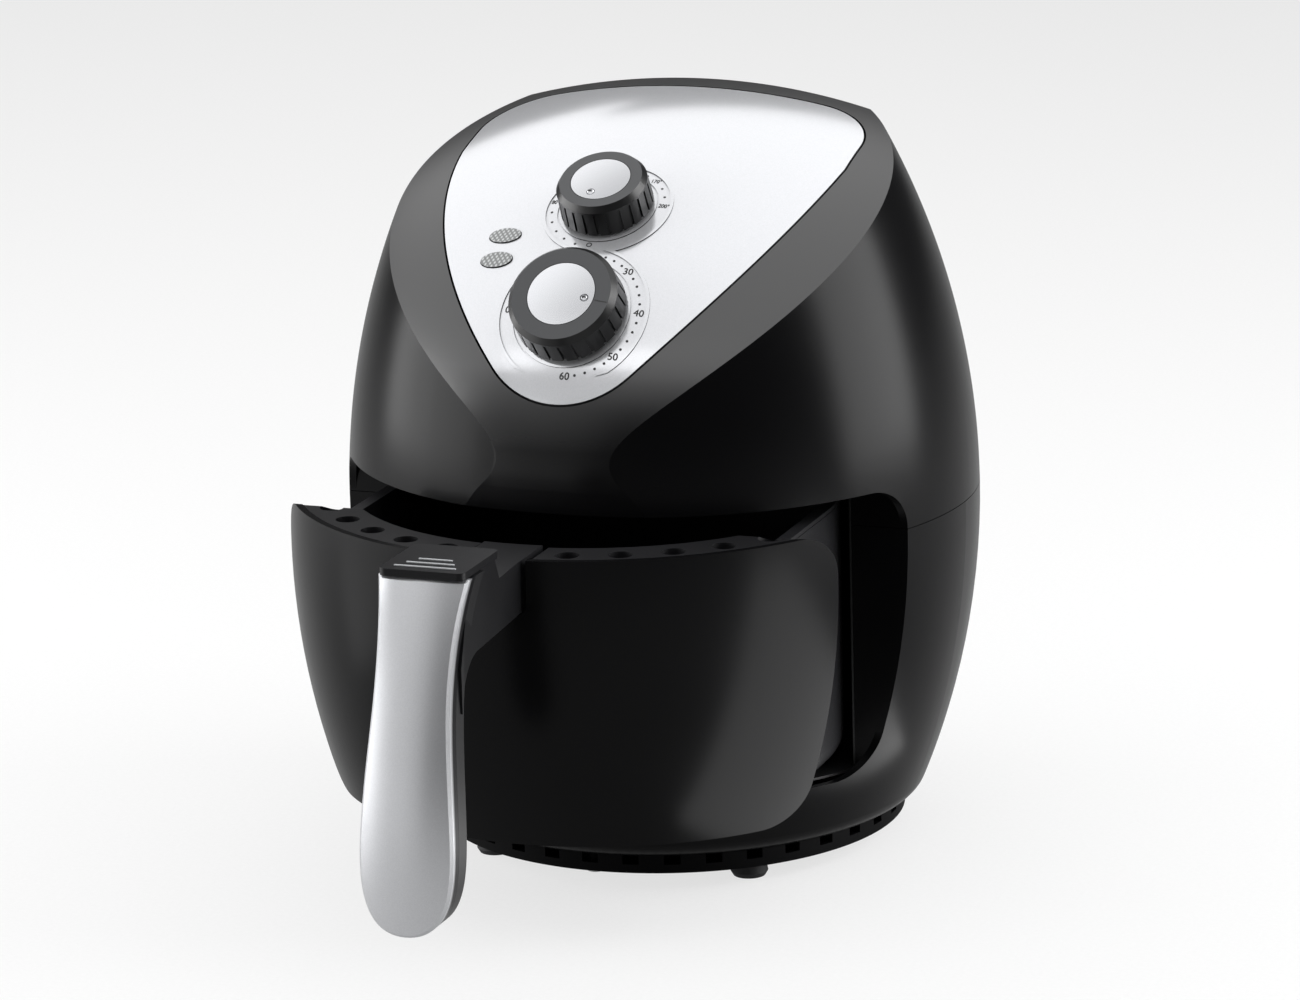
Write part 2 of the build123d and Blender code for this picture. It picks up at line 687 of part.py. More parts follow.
def make_heating_element():
    """A flat spiral of half turns, with both ends bent up through the reflector."""
    inner, outer = heater_ends()
    rise = HEATER_Z + HEATER_BEND_R
    bend = HEATER_BEND_R * (1 - math.sqrt(0.5))
    path = [Line((inner, -HEATER_BEND_R, rise + HEATER_LEAD), (inner, -HEATER_BEND_R, rise))]
    first = (inner, -HEATER_BEND_R, rise)
    path.append(ThreePointArc(first, (inner, -HEATER_BEND_R + bend, HEATER_Z + bend), (inner, 0, HEATER_Z)))
    x, radius, turn = inner, HEATER_INNER_R + HEATER_PITCH / 4, 1
    for _ in range(HEATER_HALF_TURNS):
        end = x - turn * 2 * radius
        middle = ((x + end) / 2, turn * radius, HEATER_Z)
        path.append(ThreePointArc((x, 0, HEATER_Z), middle, (end, 0, HEATER_Z)))
        x, radius, turn = end, radius + HEATER_PITCH / 2, -turn
    last = (outer, turn * HEATER_BEND_R, rise)
    middle = (outer, turn * (HEATER_BEND_R - bend), HEATER_Z + bend)
    path.append(ThreePointArc((outer, 0, HEATER_Z), middle, last))
    path.append(Line(last, (outer, turn * HEATER_BEND_R, rise + HEATER_LEAD)))
    wire = Wire(path)
    section = Plane(origin=wire @ 0, z_dir=wire % 0) * Circle(HEATER_TUBE_R)
    print("heater: least gap to itself", round(least_gap(wire, HEATER_TUBE_R), 2))
    return sweep(section, path=wire)


def make_heater_brackets():
    """Hangers on the reflector's side, each with a shelf under the turns."""
    far = HEATER_OUTER_R + HEATER_TUBE_R + HANGER_GAP
    low = HEATER_Z - HEATER_TUBE_R - SEAT
    half = HANGER_HALF
    shelf = block(HEATER_INNER_R - 2 * HEATER_TUBE_R, REFLECTOR_R - SEAT, -half, half, low - REFLECTOR_T, low)
    post = block(far, far + REFLECTOR_T, -half, half, low, REFLECTOR_TOP_Z - REFLECTOR_ROUND)
    hanger = shelf + post
    return [Rot(0, 0, HANGER_ANGLE + i * 360 / HANGERS) * hanger for i in range(HANGERS)]


def make_heater_guard():
    outer = REFLECTOR_R - SEAT
    rings = [outer - i * GUARD_RING_PITCH for i in range(GUARD_RINGS)]
    guard = None
    for radius in rings:
        ring = tube(radius, radius - GUARD_RING_W, GUARD_PLATE_Z, GUARD_PLATE_Z + GUARD_PLATE_T)
        guard = ring if guard is None else guard + ring
    inside = rings[-1] - GUARD_RING_W / 2
    half = GUARD_SPOKE_W / 2
    spoke = block(inside, outer - GUARD_RING_W / 2, -half, half, GUARD_PLATE_Z, GUARD_PLATE_Z + GUARD_PLATE_T)
    for i in range(GUARD_SPOKES):
        guard += Rot(0, 0, GUARD_SPOKE_ANGLE + i * 360 / GUARD_SPOKES) * spoke
    return guard


# Fans and motor

def make_hot_air_fan():
    plate = tube(FAN_R, MOTOR_SHAFT_R + RUN, FAN_PLATE_Z, FAN_PLATE_Z + FAN_PLATE_T)
    low = FAN_PLATE_Z - FAN_BLADE_H
    fan = plate + tube(FAN_HUB_R, MOTOR_SHAFT_R + RUN, low, FAN_PLATE_Z)
    inside = FAN_BLADE_INNER_R
    blade = block(inside, FAN_R - FAN_BLADE_EDGE, -FAN_BLADE_T / 2, FAN_BLADE_T / 2, low, FAN_PLATE_Z)
    blade = Pos(inside, 0, 0) * Rot(0, 0, FAN_BLADE_ANGLE) * Pos(-inside, 0, 0) * blade
    blade = blade & rod(FAN_R, low, FAN_PLATE_Z)
    return fan + [Rot(0, 0, i * 360 / FAN_BLADES) * blade for i in range(FAN_BLADES)]


def make_cooling_fan():
    low = COOLING_FAN_Z
    high = low + COOLING_BLADE_H
    fan = tube(FAN_HUB_R, MOTOR_SHAFT_R + RUN, low, high)
    root_r = FAN_HUB_R - BLADE_ROOT
    blade = Rot(COOLING_BLADE_PITCH, 0, 0) * Box(COOLING_FAN_R, COOLING_BLADE_W, FAN_BLADE_T)
    blade = Pos(COOLING_FAN_R / 2, 0, (low + high) / 2) * blade
    blade = blade & tube(COOLING_FAN_R, root_r, low, high)
    return fan + [Rot(0, 0, i * 360 / COOLING_BLADES) * blade for i in range(COOLING_BLADES)]


def make_motor_shaft():
    low = FAN_PLATE_Z - FAN_BLADE_H - SHAFT_TIP
    return rod(MOTOR_SHAFT_R, low, MOTOR_PLATE_Z + MOTOR_PLATE_T + MOTOR_H - WALL)


def make_fan_nut():
    high = FAN_PLATE_Z - FAN_BLADE_H
    nut = extrude(Pos(0, 0, high - NUT_H) * RegularPolygon(NUT_R, 6), NUT_H)
    return nut - rod(MOTOR_SHAFT_R + RUN, high - NUT_H, high)


def make_fan_motor():
    low = MOTOR_PLATE_Z + MOTOR_PLATE_T
    core = rod(MOTOR_R, low, low + MOTOR_H)
    core = fillet(core.edges().group_by(Axis.Z)[-1], MOTOR_ROUND)
    stack = low + MOTOR_CORE_Z
    half = MOTOR_CORE_W / 2
    core += block(-MOTOR_CORE_HALF, MOTOR_CORE_HALF, -half, half, stack, stack + MOTOR_CORE_H)
    core += rod(MOTOR_BOSS_R, low + MOTOR_H, low + MOTOR_H + MOTOR_BOSS_H)
    return core - rod(MOTOR_SHAFT_R + RUN, low, low + MOTOR_H)


def make_motor_bracket():
    low = REFLECTOR_TOP_Z + REFLECTOR_T
    plate = tube(MOTOR_PLATE_R, MOTOR_SHAFT_R * 2, MOTOR_PLATE_Z, MOTOR_PLATE_Z + MOTOR_PLATE_T)
    for i in range(MOTOR_POSTS):
        spin = Rot(0, 0, MOTOR_POST_ANGLE + i * 360 / MOTOR_POSTS)
        plate += spin * rod(MOTOR_POST_R, low, MOTOR_PLATE_Z, MOTOR_POST_CIRCLE_R)
        between = spin * Rot(0, 0, 180 / MOTOR_POSTS)
        middle = (MOTOR_R + MOTOR_PLATE_R) / 2
        plate -= between * rod(BRACKET_HOLE_R, low, REACH, middle)
    return plate


# Dials

def make_knob(y, knob_r, ring_r, cap_r):
    top = KNOB_LIFT + KNOB_H
    profile = Polyline(
        (SHAFT_R + RUN, KNOB_LIFT),
        (knob_r, KNOB_LIFT),
        (knob_r - KNOB_DRAFT, top - KNOB_SHOULDER),
        (ring_r, top),
        (cap_r + SEAT, top),
        (cap_r + SEAT, top - CAP_SINK),
        (SHAFT_R + RUN, top - CAP_SINK),
        (SHAFT_R + RUN, KNOB_LIFT),
    )
    knob = turned(profile)
    flute = Pos(knob_r, 0, KNOB_LIFT + FLUTE_H / 2) * Box(2 * FLUTE_DEPTH, FLUTE_W, FLUTE_H)
    knob -= [Rot(0, 0, (i + 0.5) * 360 / KNOB_FLUTES) * flute for i in range(KNOB_FLUTES)]
    return dial_plane(y).location * knob


def make_cap(y, cap_r, pointer):
    low = KNOB_LIFT + KNOB_H - CAP_SINK
    edge = low + CAP_SINK
    side = Polyline((0, edge + CAP_CROWN), (0, low), (cap_r, low), (cap_r, edge))
    crown = ThreePointArc((cap_r, edge), (cap_r / 2, edge + 0.75 * CAP_CROWN), (0, edge + CAP_CROWN))
    cap = turned(side, crown)
    cap -= Pos(0, cap_r - DIMPLE_INSET, edge + DIMPLE_LIFT) * Sphere(DIMPLE_R)
    return dial_plane(y).location * Rot(0, 0, pointer - 90) * cap


def make_dial_shaft(y):
    low = -PANEL_T - SEAT - BUSH_L - SHAFT_BORE_L + SHAFT_END_GAP
    high = KNOB_LIFT + KNOB_H - CAP_SINK
    return dial_plane(y).location * rod(SHAFT_R, low, high)


def make_timer_unit():
    top = -PANEL_T - SEAT
    low = top - BUSH_L - TIMER_UNIT_L
    unit = rod(BUSH_R, top - BUSH_L, top) + rod(TIMER_UNIT_R, low, top - BUSH_L)
    unit += rod(BELL_R, low - BELL_H, low)
    unit -= rod(SHAFT_R + RUN, top - BUSH_L - SHAFT_BORE_L, top)
    return dial_plane(TIMER_Y).location * unit


def make_thermostat_unit():
    top = -PANEL_T - SEAT
    low = top - BUSH_L - THERMOSTAT_L
    body = block(-THERMOSTAT_W / 2, THERMOSTAT_W / 2, -THERMOSTAT_D / 2, THERMOSTAT_D / 2, low, top - BUSH_L)
    unit = body + rod(BUSH_R, top - BUSH_L, top)
    unit -= rod(SHAFT_R + RUN, top - BUSH_L - SHAFT_BORE_L, top)
    return dial_plane(TEMP_Y).location * unit


# Outlet and electrical pieces

def make_rear_grille():
    grille = (window_prism(PANEL_GAP) & barrel(GRILLE_LOW_Z - WALL, GRILLE_HIGH_Z + WALL))
    grille -= barrel(GRILLE_LOW_Z - 2 * WALL, GRILLE_HIGH_Z + 2 * WALL, WALL)
    span = GRILLE_HIGH_Z - GRILLE_LOW_Z - 2 * GRILLE_FRAME
    pitch = span / GRILLE_SLOTS
    wide = 2 * (GRILLE_HALF - GRILLE_FRAME)
    for i in range(GRILLE_SLOTS):
        z = GRILLE_LOW_Z + GRILLE_FRAME + (i + 0.5) * pitch
        grille -= Pos(0, REACH / 2, z) * Box(wide, REACH, GRILLE_SLOT_H)
    return grille


def make_air_duct():
    low = REFLECTOR_TOP_Z + REFLECTOR_T + SEAT
    high = GRILLE_HIGH_Z - GRILLE_FRAME
    half = GRILLE_HALF - GRILLE_FRAME + DUCT_T
    duct = block(-half, half, DUCT_FRONT_Y, REACH, low, high)
    duct -= block(-half + DUCT_T, half - DUCT_T, DUCT_FRONT_Y, REACH, low + DUCT_T, high - DUCT_T)
    return duct & envelope(low - WALL, WALL + SEAT)


def make_cord_gland():
    skin = side_radius(GLAND_Z)
    bush = Plane(origin=(0, skin - 3 * WALL, GLAND_Z), x_dir=(1, 0, 0), z_dir=(0, 1, 0))
    gland = extrude(bush * Circle(GLAND_R), 3 * WALL + GLAND_NOSE)
    flange = Plane(origin=(0, skin, GLAND_Z), x_dir=(1, 0, 0), z_dir=(0, 1, 0))
    collar = extrude(flange * Circle(GLAND_FLANGE_R), GLAND_FLANGE_T)
    gland += collar - barrel(HOUSING_BOTTOM_Z, SEAM_Z)
    return gland - extrude(bush * Circle(GLAND_BORE_R), REACH)


def make_interlock_switch():
    near = CHAMBER_HALF + LINER_T + SEAT
    half = SWITCH_H / 2
    box = block(-SWITCH_W / 2, SWITCH_W / 2, near, near + SWITCH_D, SWITCH_Z - half, SWITCH_Z + half)
    tip = Plane(origin=(0, PAN_HALF + SLIDE, SWITCH_Z), x_dir=(1, 0, 0), z_dir=(0, 1, 0))
    return box + extrude(tip * Circle(PLUNGER_R), near - PAN_HALF - SLIDE)


def make_terminal_block():
    low = BASE_Z + BASE_FLOOR
    body = block(-BLOCK_W / 2, BLOCK_W / 2, BLOCK_Y, BLOCK_Y + BLOCK_D, low, low + BLOCK_H)
    for i in (-1, 0, 1):
        body -= rod(SCREW_R, low + BLOCK_H / 2, low + BLOCK_H, i * BLOCK_SCREW_PITCH, BLOCK_Y + BLOCK_D / 2)
    return body


def make_thermal_fuse():
    z = REFLECTOR_TOP_Z + REFLECTOR_T + FUSE_R
    barrel_plane = Plane(origin=(-FUSE_L / 2, 0, z), z_dir=(1, 0, 0))
    fuse = extrude(barrel_plane * Circle(FUSE_R), FUSE_L)
    half = FUSE_CLIP_W / 2
    clip = block(-half, half, -FUSE_R, FUSE_CLIP_L, z - FUSE_R, z - FUSE_R + FUSE_CLIP_T)
    return Rot(0, 0, FUSE_ANGLE) * Pos(0, -FUSE_CIRCLE_R, 0) * (fuse + clip)


# Drawer

def neck_space():
    """Clear way for the handle's neck through the drawer's front pieces, with round lower corners."""
    half = NECK_REAR_HALF + NOTCH_GAP
    space = block(-half, half, -REACH, -PAN_FRONT_R / 2, NECK_BOTTOM_Z - NOTCH_GAP, REACH)
    return fillet(space.edges().filter_by(Axis.Y).group_by(Axis.Z)[0], NOTCH_ROUND)


def basket_outline(grow=0.0):
    half = PAN_HALF - PAN_T - BASKET_GAP + grow
    front = PAN_FRONT_R - PAN_T - BASKET_GAP + grow
    return half, front


def make_pan():
    outer = dished(PAN_HALF, PAN_FRONT_R, PAN_BOTTOM_Z, PAN_TOP_Z, PAN_ROUND)
    half, front = PAN_HALF - PAN_T, PAN_FRONT_R - PAN_T
    hollow = dished(half, front, PAN_BOTTOM_Z + PAN_T, PAN_TOP_Z + WALL, PAN_ROUND - PAN_T)
    return outer - hollow - neck_space()


def make_basket():
    half, front = basket_outline()
    outer = dished(half, front, BASKET_BOTTOM_Z, PAN_TOP_Z + SEAT, BASKET_ROUND)
    rim = column(PAN_HALF, PAN_FRONT_R, PAN_TOP_Z + SEAT, PAN_TOP_Z + SEAT + BASKET_RIM_T)
    rim -= neck_space() - column(half, front, 0, REACH)
    half, front = basket_outline(-BASKET_T)
    hollow = dished(half, front, BASKET_BOTTOM_Z + BASKET_T, PAN_TOP_Z + 3 * WALL, BASKET_ROUND - BASKET_T)
    ledge = BASKET_ROUND + BASKET_T
    half, front = basket_outline(-ledge)
    floor_hole = column(half, front, BASKET_BOTTOM_Z - WALL, PAN_TOP_Z)
    return outer + rim - hollow - floor_hole


def make_basket_grate():
    """Perforated floor that drops onto the basket's inner ledge."""
    low = BASKET_BOTTOM_Z + BASKET_T + SEAT
    half, front = basket_outline(-BASKET_ROUND - SEAT)
    grate = column(half, front, low, low + GRATE_T)
    inside_half, inside_front = half - 2 * GRATE_HOLE_R, front - 2 * GRATE_HOLE_R
    rows = int(front // GRATE_PITCH)
    holes = []
    for row in range(-rows, rows + 1):
        for step in range(-rows, rows + 1):
            x = (step + 0.5 * (row % 2)) * GRATE_PITCH
            y = row * GRATE_PITCH
            reach = inside_half if y > 0 else inside_front
            if abs(x) < inside_half and math.hypot(x, y) < reach:
                holes.append(rod(GRATE_HOLE_R, low, low + GRATE_T, x, y))
    return grate - holes


def make_basket_bumpers():
    """Soft pads that space the basket from the pan's sides."""
    half, _ = basket_outline()
    z = (BASKET_BOTTOM_Z + PAN_TOP_Z) / 2
    pads = []
    for side in (-1, 1):
        for y in BUMPER_Y:
            face = Plane(origin=(side * half, y, z), z_dir=(side, 0, 0))
            pads.append(extrude(face * Circle(BUMPER_R), BASKET_GAP - SEAT))
    return pads


def make_drawer_front():
    low = OPEN_BOTTOM_Z - WALL
    high = OPEN_TOP_Z + WALL
    room = front_prism(DRAWER_GAP, DRAWER_REAR_GAP)
    front = (barrel(low, high, FRONT_INSET) - barrel(low - WALL, high + WALL, FRONT_BACK)) & room
    shelf = barrel(FRONT_SHELF_Z, FRONT_SHELF_Z + FRONT_T, FRONT_INSET + FRONT_T / 2) & room
    shelf -= column(PAN_HALF + SEAT, PAN_FRONT_R + SEAT, 0, REACH)
    return front + shelf - neck_space()


def make_drawer_top_trim():
    low = TRIM_TOP_Z - TRIM_T
    room = front_prism(DRAWER_GAP + SEAT, DRAWER_REAR_GAP + SEAT)
    trim = barrel(low, TRIM_TOP_Z, FRONT_BACK + SEAT) & room
    trim -= column(TRIM_INNER_HALF, TRIM_INNER_FRONT_R, 0, REACH)
    skirt_low = PAN_TOP_Z + BASKET_RIM_T + 2 * SEAT
    skirt = column(TRIM_INNER_HALF + TRIM_T / 2, TRIM_INNER_FRONT_R + TRIM_T / 2, skirt_low, TRIM_TOP_Z)
    skirt -= column(TRIM_INNER_HALF, TRIM_INNER_FRONT_R, 0, REACH)
    trim += skirt & room
    trim -= neck_space()
    for side in (-1, 1):
        for i in range(TRIM_HOLES_A_SIDE):
            spin = Rot(0, 0, side * (TRIM_HOLE_START + i * TRIM_HOLE_STEP))
            trim -= spin * rod(TRIM_HOLE_R, low, TRIM_TOP_Z, 0, -TRIM_HOLE_CIRCLE_R)
    return trim


# Handle

def grip_circle():
    """Middle and radius of the grip's long front curve, seen from the side as (y, z)."""
    reaches = HANDLE_TOP_REACH, HANDLE_MID_REACH, HANDLE_END_REACH
    heights = HANDLE_TOP_Z, (HANDLE_TOP_Z + HANDLE_BOTTOM_Z) / 2, HANDLE_BOTTOM_Z
    arc = ThreePointArc(*[(-BODY_R - reach, z) for reach, z in zip(reaches, heights)])
    return arc.arc_center, arc.radius


def grip_band(near, far):
    """Curved slab between two depths behind the grip's front curve."""
    centre, radius = grip_circle()
    ring = Pos(centre.X, centre.Y) * (Circle(radius - near) - Circle(radius - far))
    return extrude(Plane.YZ * ring, 2 * HANDLE_TOP_HALF, both=True)


def grip_slice(near, far):
    """The slab cut to the handle's face."""
    return grip_band(near, far) & extrude(Plane.XZ * handle_face(), REACH)


def handle_face():
    """The handle seen from the front: a waist, a belly and a round end."""
    right = Spline(
        (HANDLE_TOP_HALF, HANDLE_TOP_Z),
        (HANDLE_WAIST_HALF, HANDLE_WAIST_Z),
        (HANDLE_BELLY_HALF, HANDLE_BELLY_Z),
        (0, HANDLE_BOTTOM_Z),
        tangents=(FACE_TOP_TANGENT, FACE_END_TANGENT),
    )
    left = mirror(right, about=Plane.YZ)
    top = Line((-HANDLE_TOP_HALF, HANDLE_TOP_Z), (HANDLE_TOP_HALF, HANDLE_TOP_Z))
    return make_face([*right.edges(), *left.edges(), top])


def make_handle_cover():
    """Crowned across its width and bevelled round its face."""
    centre, radius = grip_circle()
    half = 2 * HANDLE_TOP_HALF
    drop = COVER_CROWN * (half / HANDLE_TOP_HALF) ** 2
    crown = ThreePointArc((-half, drop - radius), (0, -radius), (half, drop - radius))
    back = Polyline((half, drop - radius), (half, 0), (-half, 0), (-half, drop - radius))
    section = make_face([crown, *back.edges()])
    axis = Axis((0, 0, 0), (1, 0, 0))
    swept = revolve(Rot(-CROWN_SPAN / 2, 0, 0) * section, axis, CROWN_SPAN)
    cover = grip_slice(0, COVER_T) & (Pos(0, centre.X, centre.Y) * swept)
    front = cover.faces().sort_by(Axis.Y)[0]
    return chamfer(front.edges(), COVER_BEVEL)


def neck_profile():
    """The neck from the side: level under, with an arc into the grip, and a ramp behind the guard."""
    rear = -PAN_FRONT_R / 2
    rear_top = OPEN_TOP_Z - DRAWER_GAP
    ramp = GUARD_REAR_Y + NECK_STEP
    arc_rear = HANDLE_FRONT_TOP_Y + COVER_T + GRIP_T
    arc_front = arc_rear - NECK_ARC_R
    arc_low = NECK_BOTTOM_Z - NECK_ARC_R
    outer = Polyline(
        (arc_rear, NECK_BOTTOM_Z),
        (rear, NECK_BOTTOM_Z),
        (rear, rear_top),
        (ramp + NECK_RAMP, rear_top),
        (ramp, HANDLE_TOP_Z),
        (arc_front, HANDLE_TOP_Z),
        (arc_front, arc_low),
    )
    turn = math.sqrt(0.5) * NECK_ARC_R
    under = ThreePointArc((arc_front, arc_low), (arc_rear - turn, arc_low + turn), (arc_rear, NECK_BOTTOM_Z))
    return make_face([*outer.edges(), under])


def neck_plan():
    """The neck from above: tapered from the grip to the drawer's front."""
    rear = -PAN_FRONT_R / 2
    front = -REACH
    right = (NECK_REAR_HALF, rear), (NECK_REAR_HALF, -BODY_R), (NECK_FRONT_HALF, HANDLE_FRONT_TOP_Y)
    corners = [*right, (NECK_FRONT_HALF, front)]
    corners += [(-x, y) for x, y in reversed(corners)]
    return make_face(Polyline(*corners, corners[0]).edges())


def make_handle_body():
    back = COVER_T + SEAT / 2
    neck = extrude(Plane.YZ * neck_profile(), NECK_FRONT_HALF, both=True) & extrude(neck_plan(), REACH)
    neck -= grip_band(-REACH / 2, back)
    half, front = basket_outline(SEAT)
    body = grip_slice(back, COVER_T + GRIP_T) + neck - column(half, front, 0, REACH)
    body -= lever_space()
    for side in (-1, 1):
        x = side * GUARD_KEEL_X
        w = GUARD_KEEL_W / 2 + SLIDE
        low = HANDLE_TOP_Z - GUARD_KEEL_H - SLIDE
        rear = GUARD_REAR_Y - GUARD_KEEL_INSET
        front_end = rear - GUARD_KEEL_L - GUARD_TRAVEL - SLIDE
        body -= block(x - w, x + w, front_end, rear + SLIDE, low, REACH)
    body -= rod(BUTTON_R + SEAT, HANDLE_TOP_Z - BUTTON_T - BUTTON_TRAVEL - SLIDE, REACH, 0, BUTTON_Y)
    body -= rod(SPRING_R + SPRING_WIRE_R + SLIDE, spring_low(), REACH, 0, BUTTON_Y)
    pivot = Plane.YZ * Pos(LEVER_PIN_Y, LEVER_PIN_Z)
    return body - extrude(pivot * Circle(LEVER_PIN_R), HANDLE_WAIST_HALF, both=True)


def lever_arm_z():
    """Top of the lever's level arm, under the button's stem."""
    return LEVER_PIN_Z + LEVER_ARM_H / 2


def spring_low():
    return lever_arm_z() + SPRING_FLOOR


def hook_low():
    return LEVER_PIN_Z - HOOK_DROP


def catch_z():
    """Underside of the catch's ledge, just above the hook's tooth."""
    return hook_low() + HOOK_TOOTH + SEAT


def tooth_space_y():
    """Back of the room that the hook's tooth swings in."""
    return HOOK_Y + LEVER_ARM_H / 2 + HOOK_TOOTH + 2 * SLIDE


def catch_riser_y():
    """Front of the catch's riser, behind the drawer's front wall."""
    return -side_radius(CATCH_FOOT_Z, FRONT_BACK) + 2 * SEAT


def lever_space():
    """Hollow in the neck for the latch lever, its swing and the catch that reaches in from the drawer."""
    half = LEVER_T / 2 + SLIDE
    arm = LEVER_ARM_H / 2
    front = LEVER_PIN_Y - LEVER_FRONT_SPACE
    low = LEVER_PIN_Z - LEVER_SWING
    level = block(-half, half, front, tooth_space_y(), low, lever_arm_z() + SLIDE)
    under_button = block(-half, half, front, BUTTON_Y + SPRING_R, low, spring_low())
    drop_low = hook_low() - LEVER_SWING
    drop = block(-half, half, HOOK_Y - arm - LEVER_SWING, tooth_space_y(), drop_low, LEVER_PIN_Z)
    wide = CATCH_HALF + SLIDE
    back = catch_riser_y() + CATCH_T + SLIDE
    top = catch_z() + CATCH_T + SLIDE
    ledge = block(-wide, wide, HOOK_Y + arm, back, catch_z() - SLIDE, top)
    riser = block(-wide, wide, catch_riser_y() - SLIDE, back, CATCH_FOOT_Z, top)
    return level + under_button + drop + ledge + riser


def make_latch_lever():
    """Level arm under the button's stem, with a hook that drops from its far end."""
    half = LEVER_ARM_H / 2
    low = hook_low()
    back = HOOK_Y + half
    outline = Polyline(
        (LEVER_PIN_Y, LEVER_PIN_Z - half),
        (LEVER_PIN_Y, LEVER_PIN_Z + half),
        (back, LEVER_PIN_Z + half),
        (back, low + HOOK_TOOTH),
        (back + HOOK_TOOTH, low + HOOK_TOOTH),
        (back, low),
        (HOOK_Y - half, low),
        (HOOK_Y - half, LEVER_PIN_Z - half),
        (LEVER_PIN_Y, LEVER_PIN_Z - half),
    )
    lever = extrude(Plane.YZ * make_face(outline.edges()), LEVER_T / 2, both=True)
    pivot = Plane.YZ * Pos(LEVER_PIN_Y, LEVER_PIN_Z)
    lever += extrude(pivot * Circle(2 * LEVER_PIN_R), LEVER_T / 2, both=True)
    return lever - extrude(pivot * Circle(LEVER_PIN_R + RUN), LEVER_T, both=True)


def make_lever_pin():
    pivot = Plane.YZ * Pos(LEVER_PIN_Y, LEVER_PIN_Z)
    return extrude(pivot * Circle(LEVER_PIN_R), HANDLE_WAIST_HALF, both=True)


def make_latch_catch():
    """Riser on the inside of the drawer's front, with a ledge that reaches over the hook's tooth."""
    low = catch_z()
    rear = catch_riser_y() + CATCH_T
    ledge = block(-CATCH_HALF, CATCH_HALF, HOOK_Y + LEVER_ARM_H / 2 + 2 * SLIDE, rear, low, low + CATCH_T)
    return ledge + block(-CATCH_HALF, CATCH_HALF, catch_riser_y(), rear, CATCH_FOOT_Z, low + CATCH_T)


def make_button_guard():
    low = HANDLE_TOP_Z + SEAT
    guard = block(-GUARD_HALF, GUARD_HALF, HANDLE_FRONT_TOP_Y, GUARD_REAR_Y, low, low + GUARD_T)
    guard = fillet(guard.edges().filter_by(Axis.Z), GUARD_ROUND)
    for side in (-1, 1):
        x = side * GUARD_KEEL_X
        w = GUARD_KEEL_W / 2
        rear = GUARD_REAR_Y - GUARD_KEEL_INSET
        guard += block(x - w, x + w, rear - GUARD_KEEL_L, rear, HANDLE_TOP_Z - GUARD_KEEL_H, low)
    for i in range(GUARD_RIBS):
        half = GUARD_RIB_HALF - i * GUARD_RIB_STEP
        y = HANDLE_FRONT_TOP_Y + GUARD_RIB_INSET + i * GUARD_RIB_PITCH
        top = low + GUARD_T
        guard += block(-half, half, y - GUARD_RIB_W / 2, y + GUARD_RIB_W / 2, top, top + GUARD_RIB_H)
    return guard


def make_release_button():
    top = HANDLE_TOP_Z
    button = rod(BUTTON_R, top - BUTTON_T, top, 0, BUTTON_Y)
    button = fillet(button.edges().group_by(Axis.Z)[-1], BUTTON_ROUND)
    return button + rod(BUTTON_STEM_R, lever_arm_z() + STEM_GAP, top - BUTTON_T, 0, BUTTON_Y)


def make_button_spring():
    """Helix between the pocket's floor and the button."""
    low = spring_low() + SPRING_WIRE_R + RUN
    high = HANDLE_TOP_Z - BUTTON_T - SPRING_WIRE_R - RUN
    path = Helix(pitch=(high - low) / SPRING_TURNS, height=high - low, radius=SPRING_R)
    section = Plane(origin=path @ 0, z_dir=path % 0) * Circle(SPRING_WIRE_R)
    print("spring: least gap to itself", round(least_gap(path, SPRING_WIRE_R), 2))
    return Pos(0, BUTTON_Y, low) * sweep(section, path=path)


def make_handle_screws():
    half, front = basket_outline(-BASKET_T)
    screws = []
    for side in (-1, 1):
        place = (side * HANDLE_SCREW_X, -front - 2 * BASKET_T, (NECK_BOTTOM_Z + PAN_TOP_Z) / 2)
        spot = Plane(origin=place, x_dir=(1, 0, 0), z_dir=(0, 1, 0))
        head = extrude(spot * Circle(SCREW_HEAD_R), REACH / 8) & column(half, front, 0, REACH)
        head -= column(half - SCREW_HEAD_T, front - SCREW_HEAD_T, 0, REACH)
        screws.append(head)
    return screws


def write(name, shape, moved=0.0):
    """One STEP per node, with drawer pieces moved out along -Y."""
    shapes = shape if isinstance(shape, list) else [shape]
    solids = [solid for item in shapes for solid in item.solids()]
    placed = [Pos(0, -moved, 0) * solid for solid in solids]
    export_step(placed[0] if len(placed) == 1 else Compound(children=placed), f"parts/{name}.step")


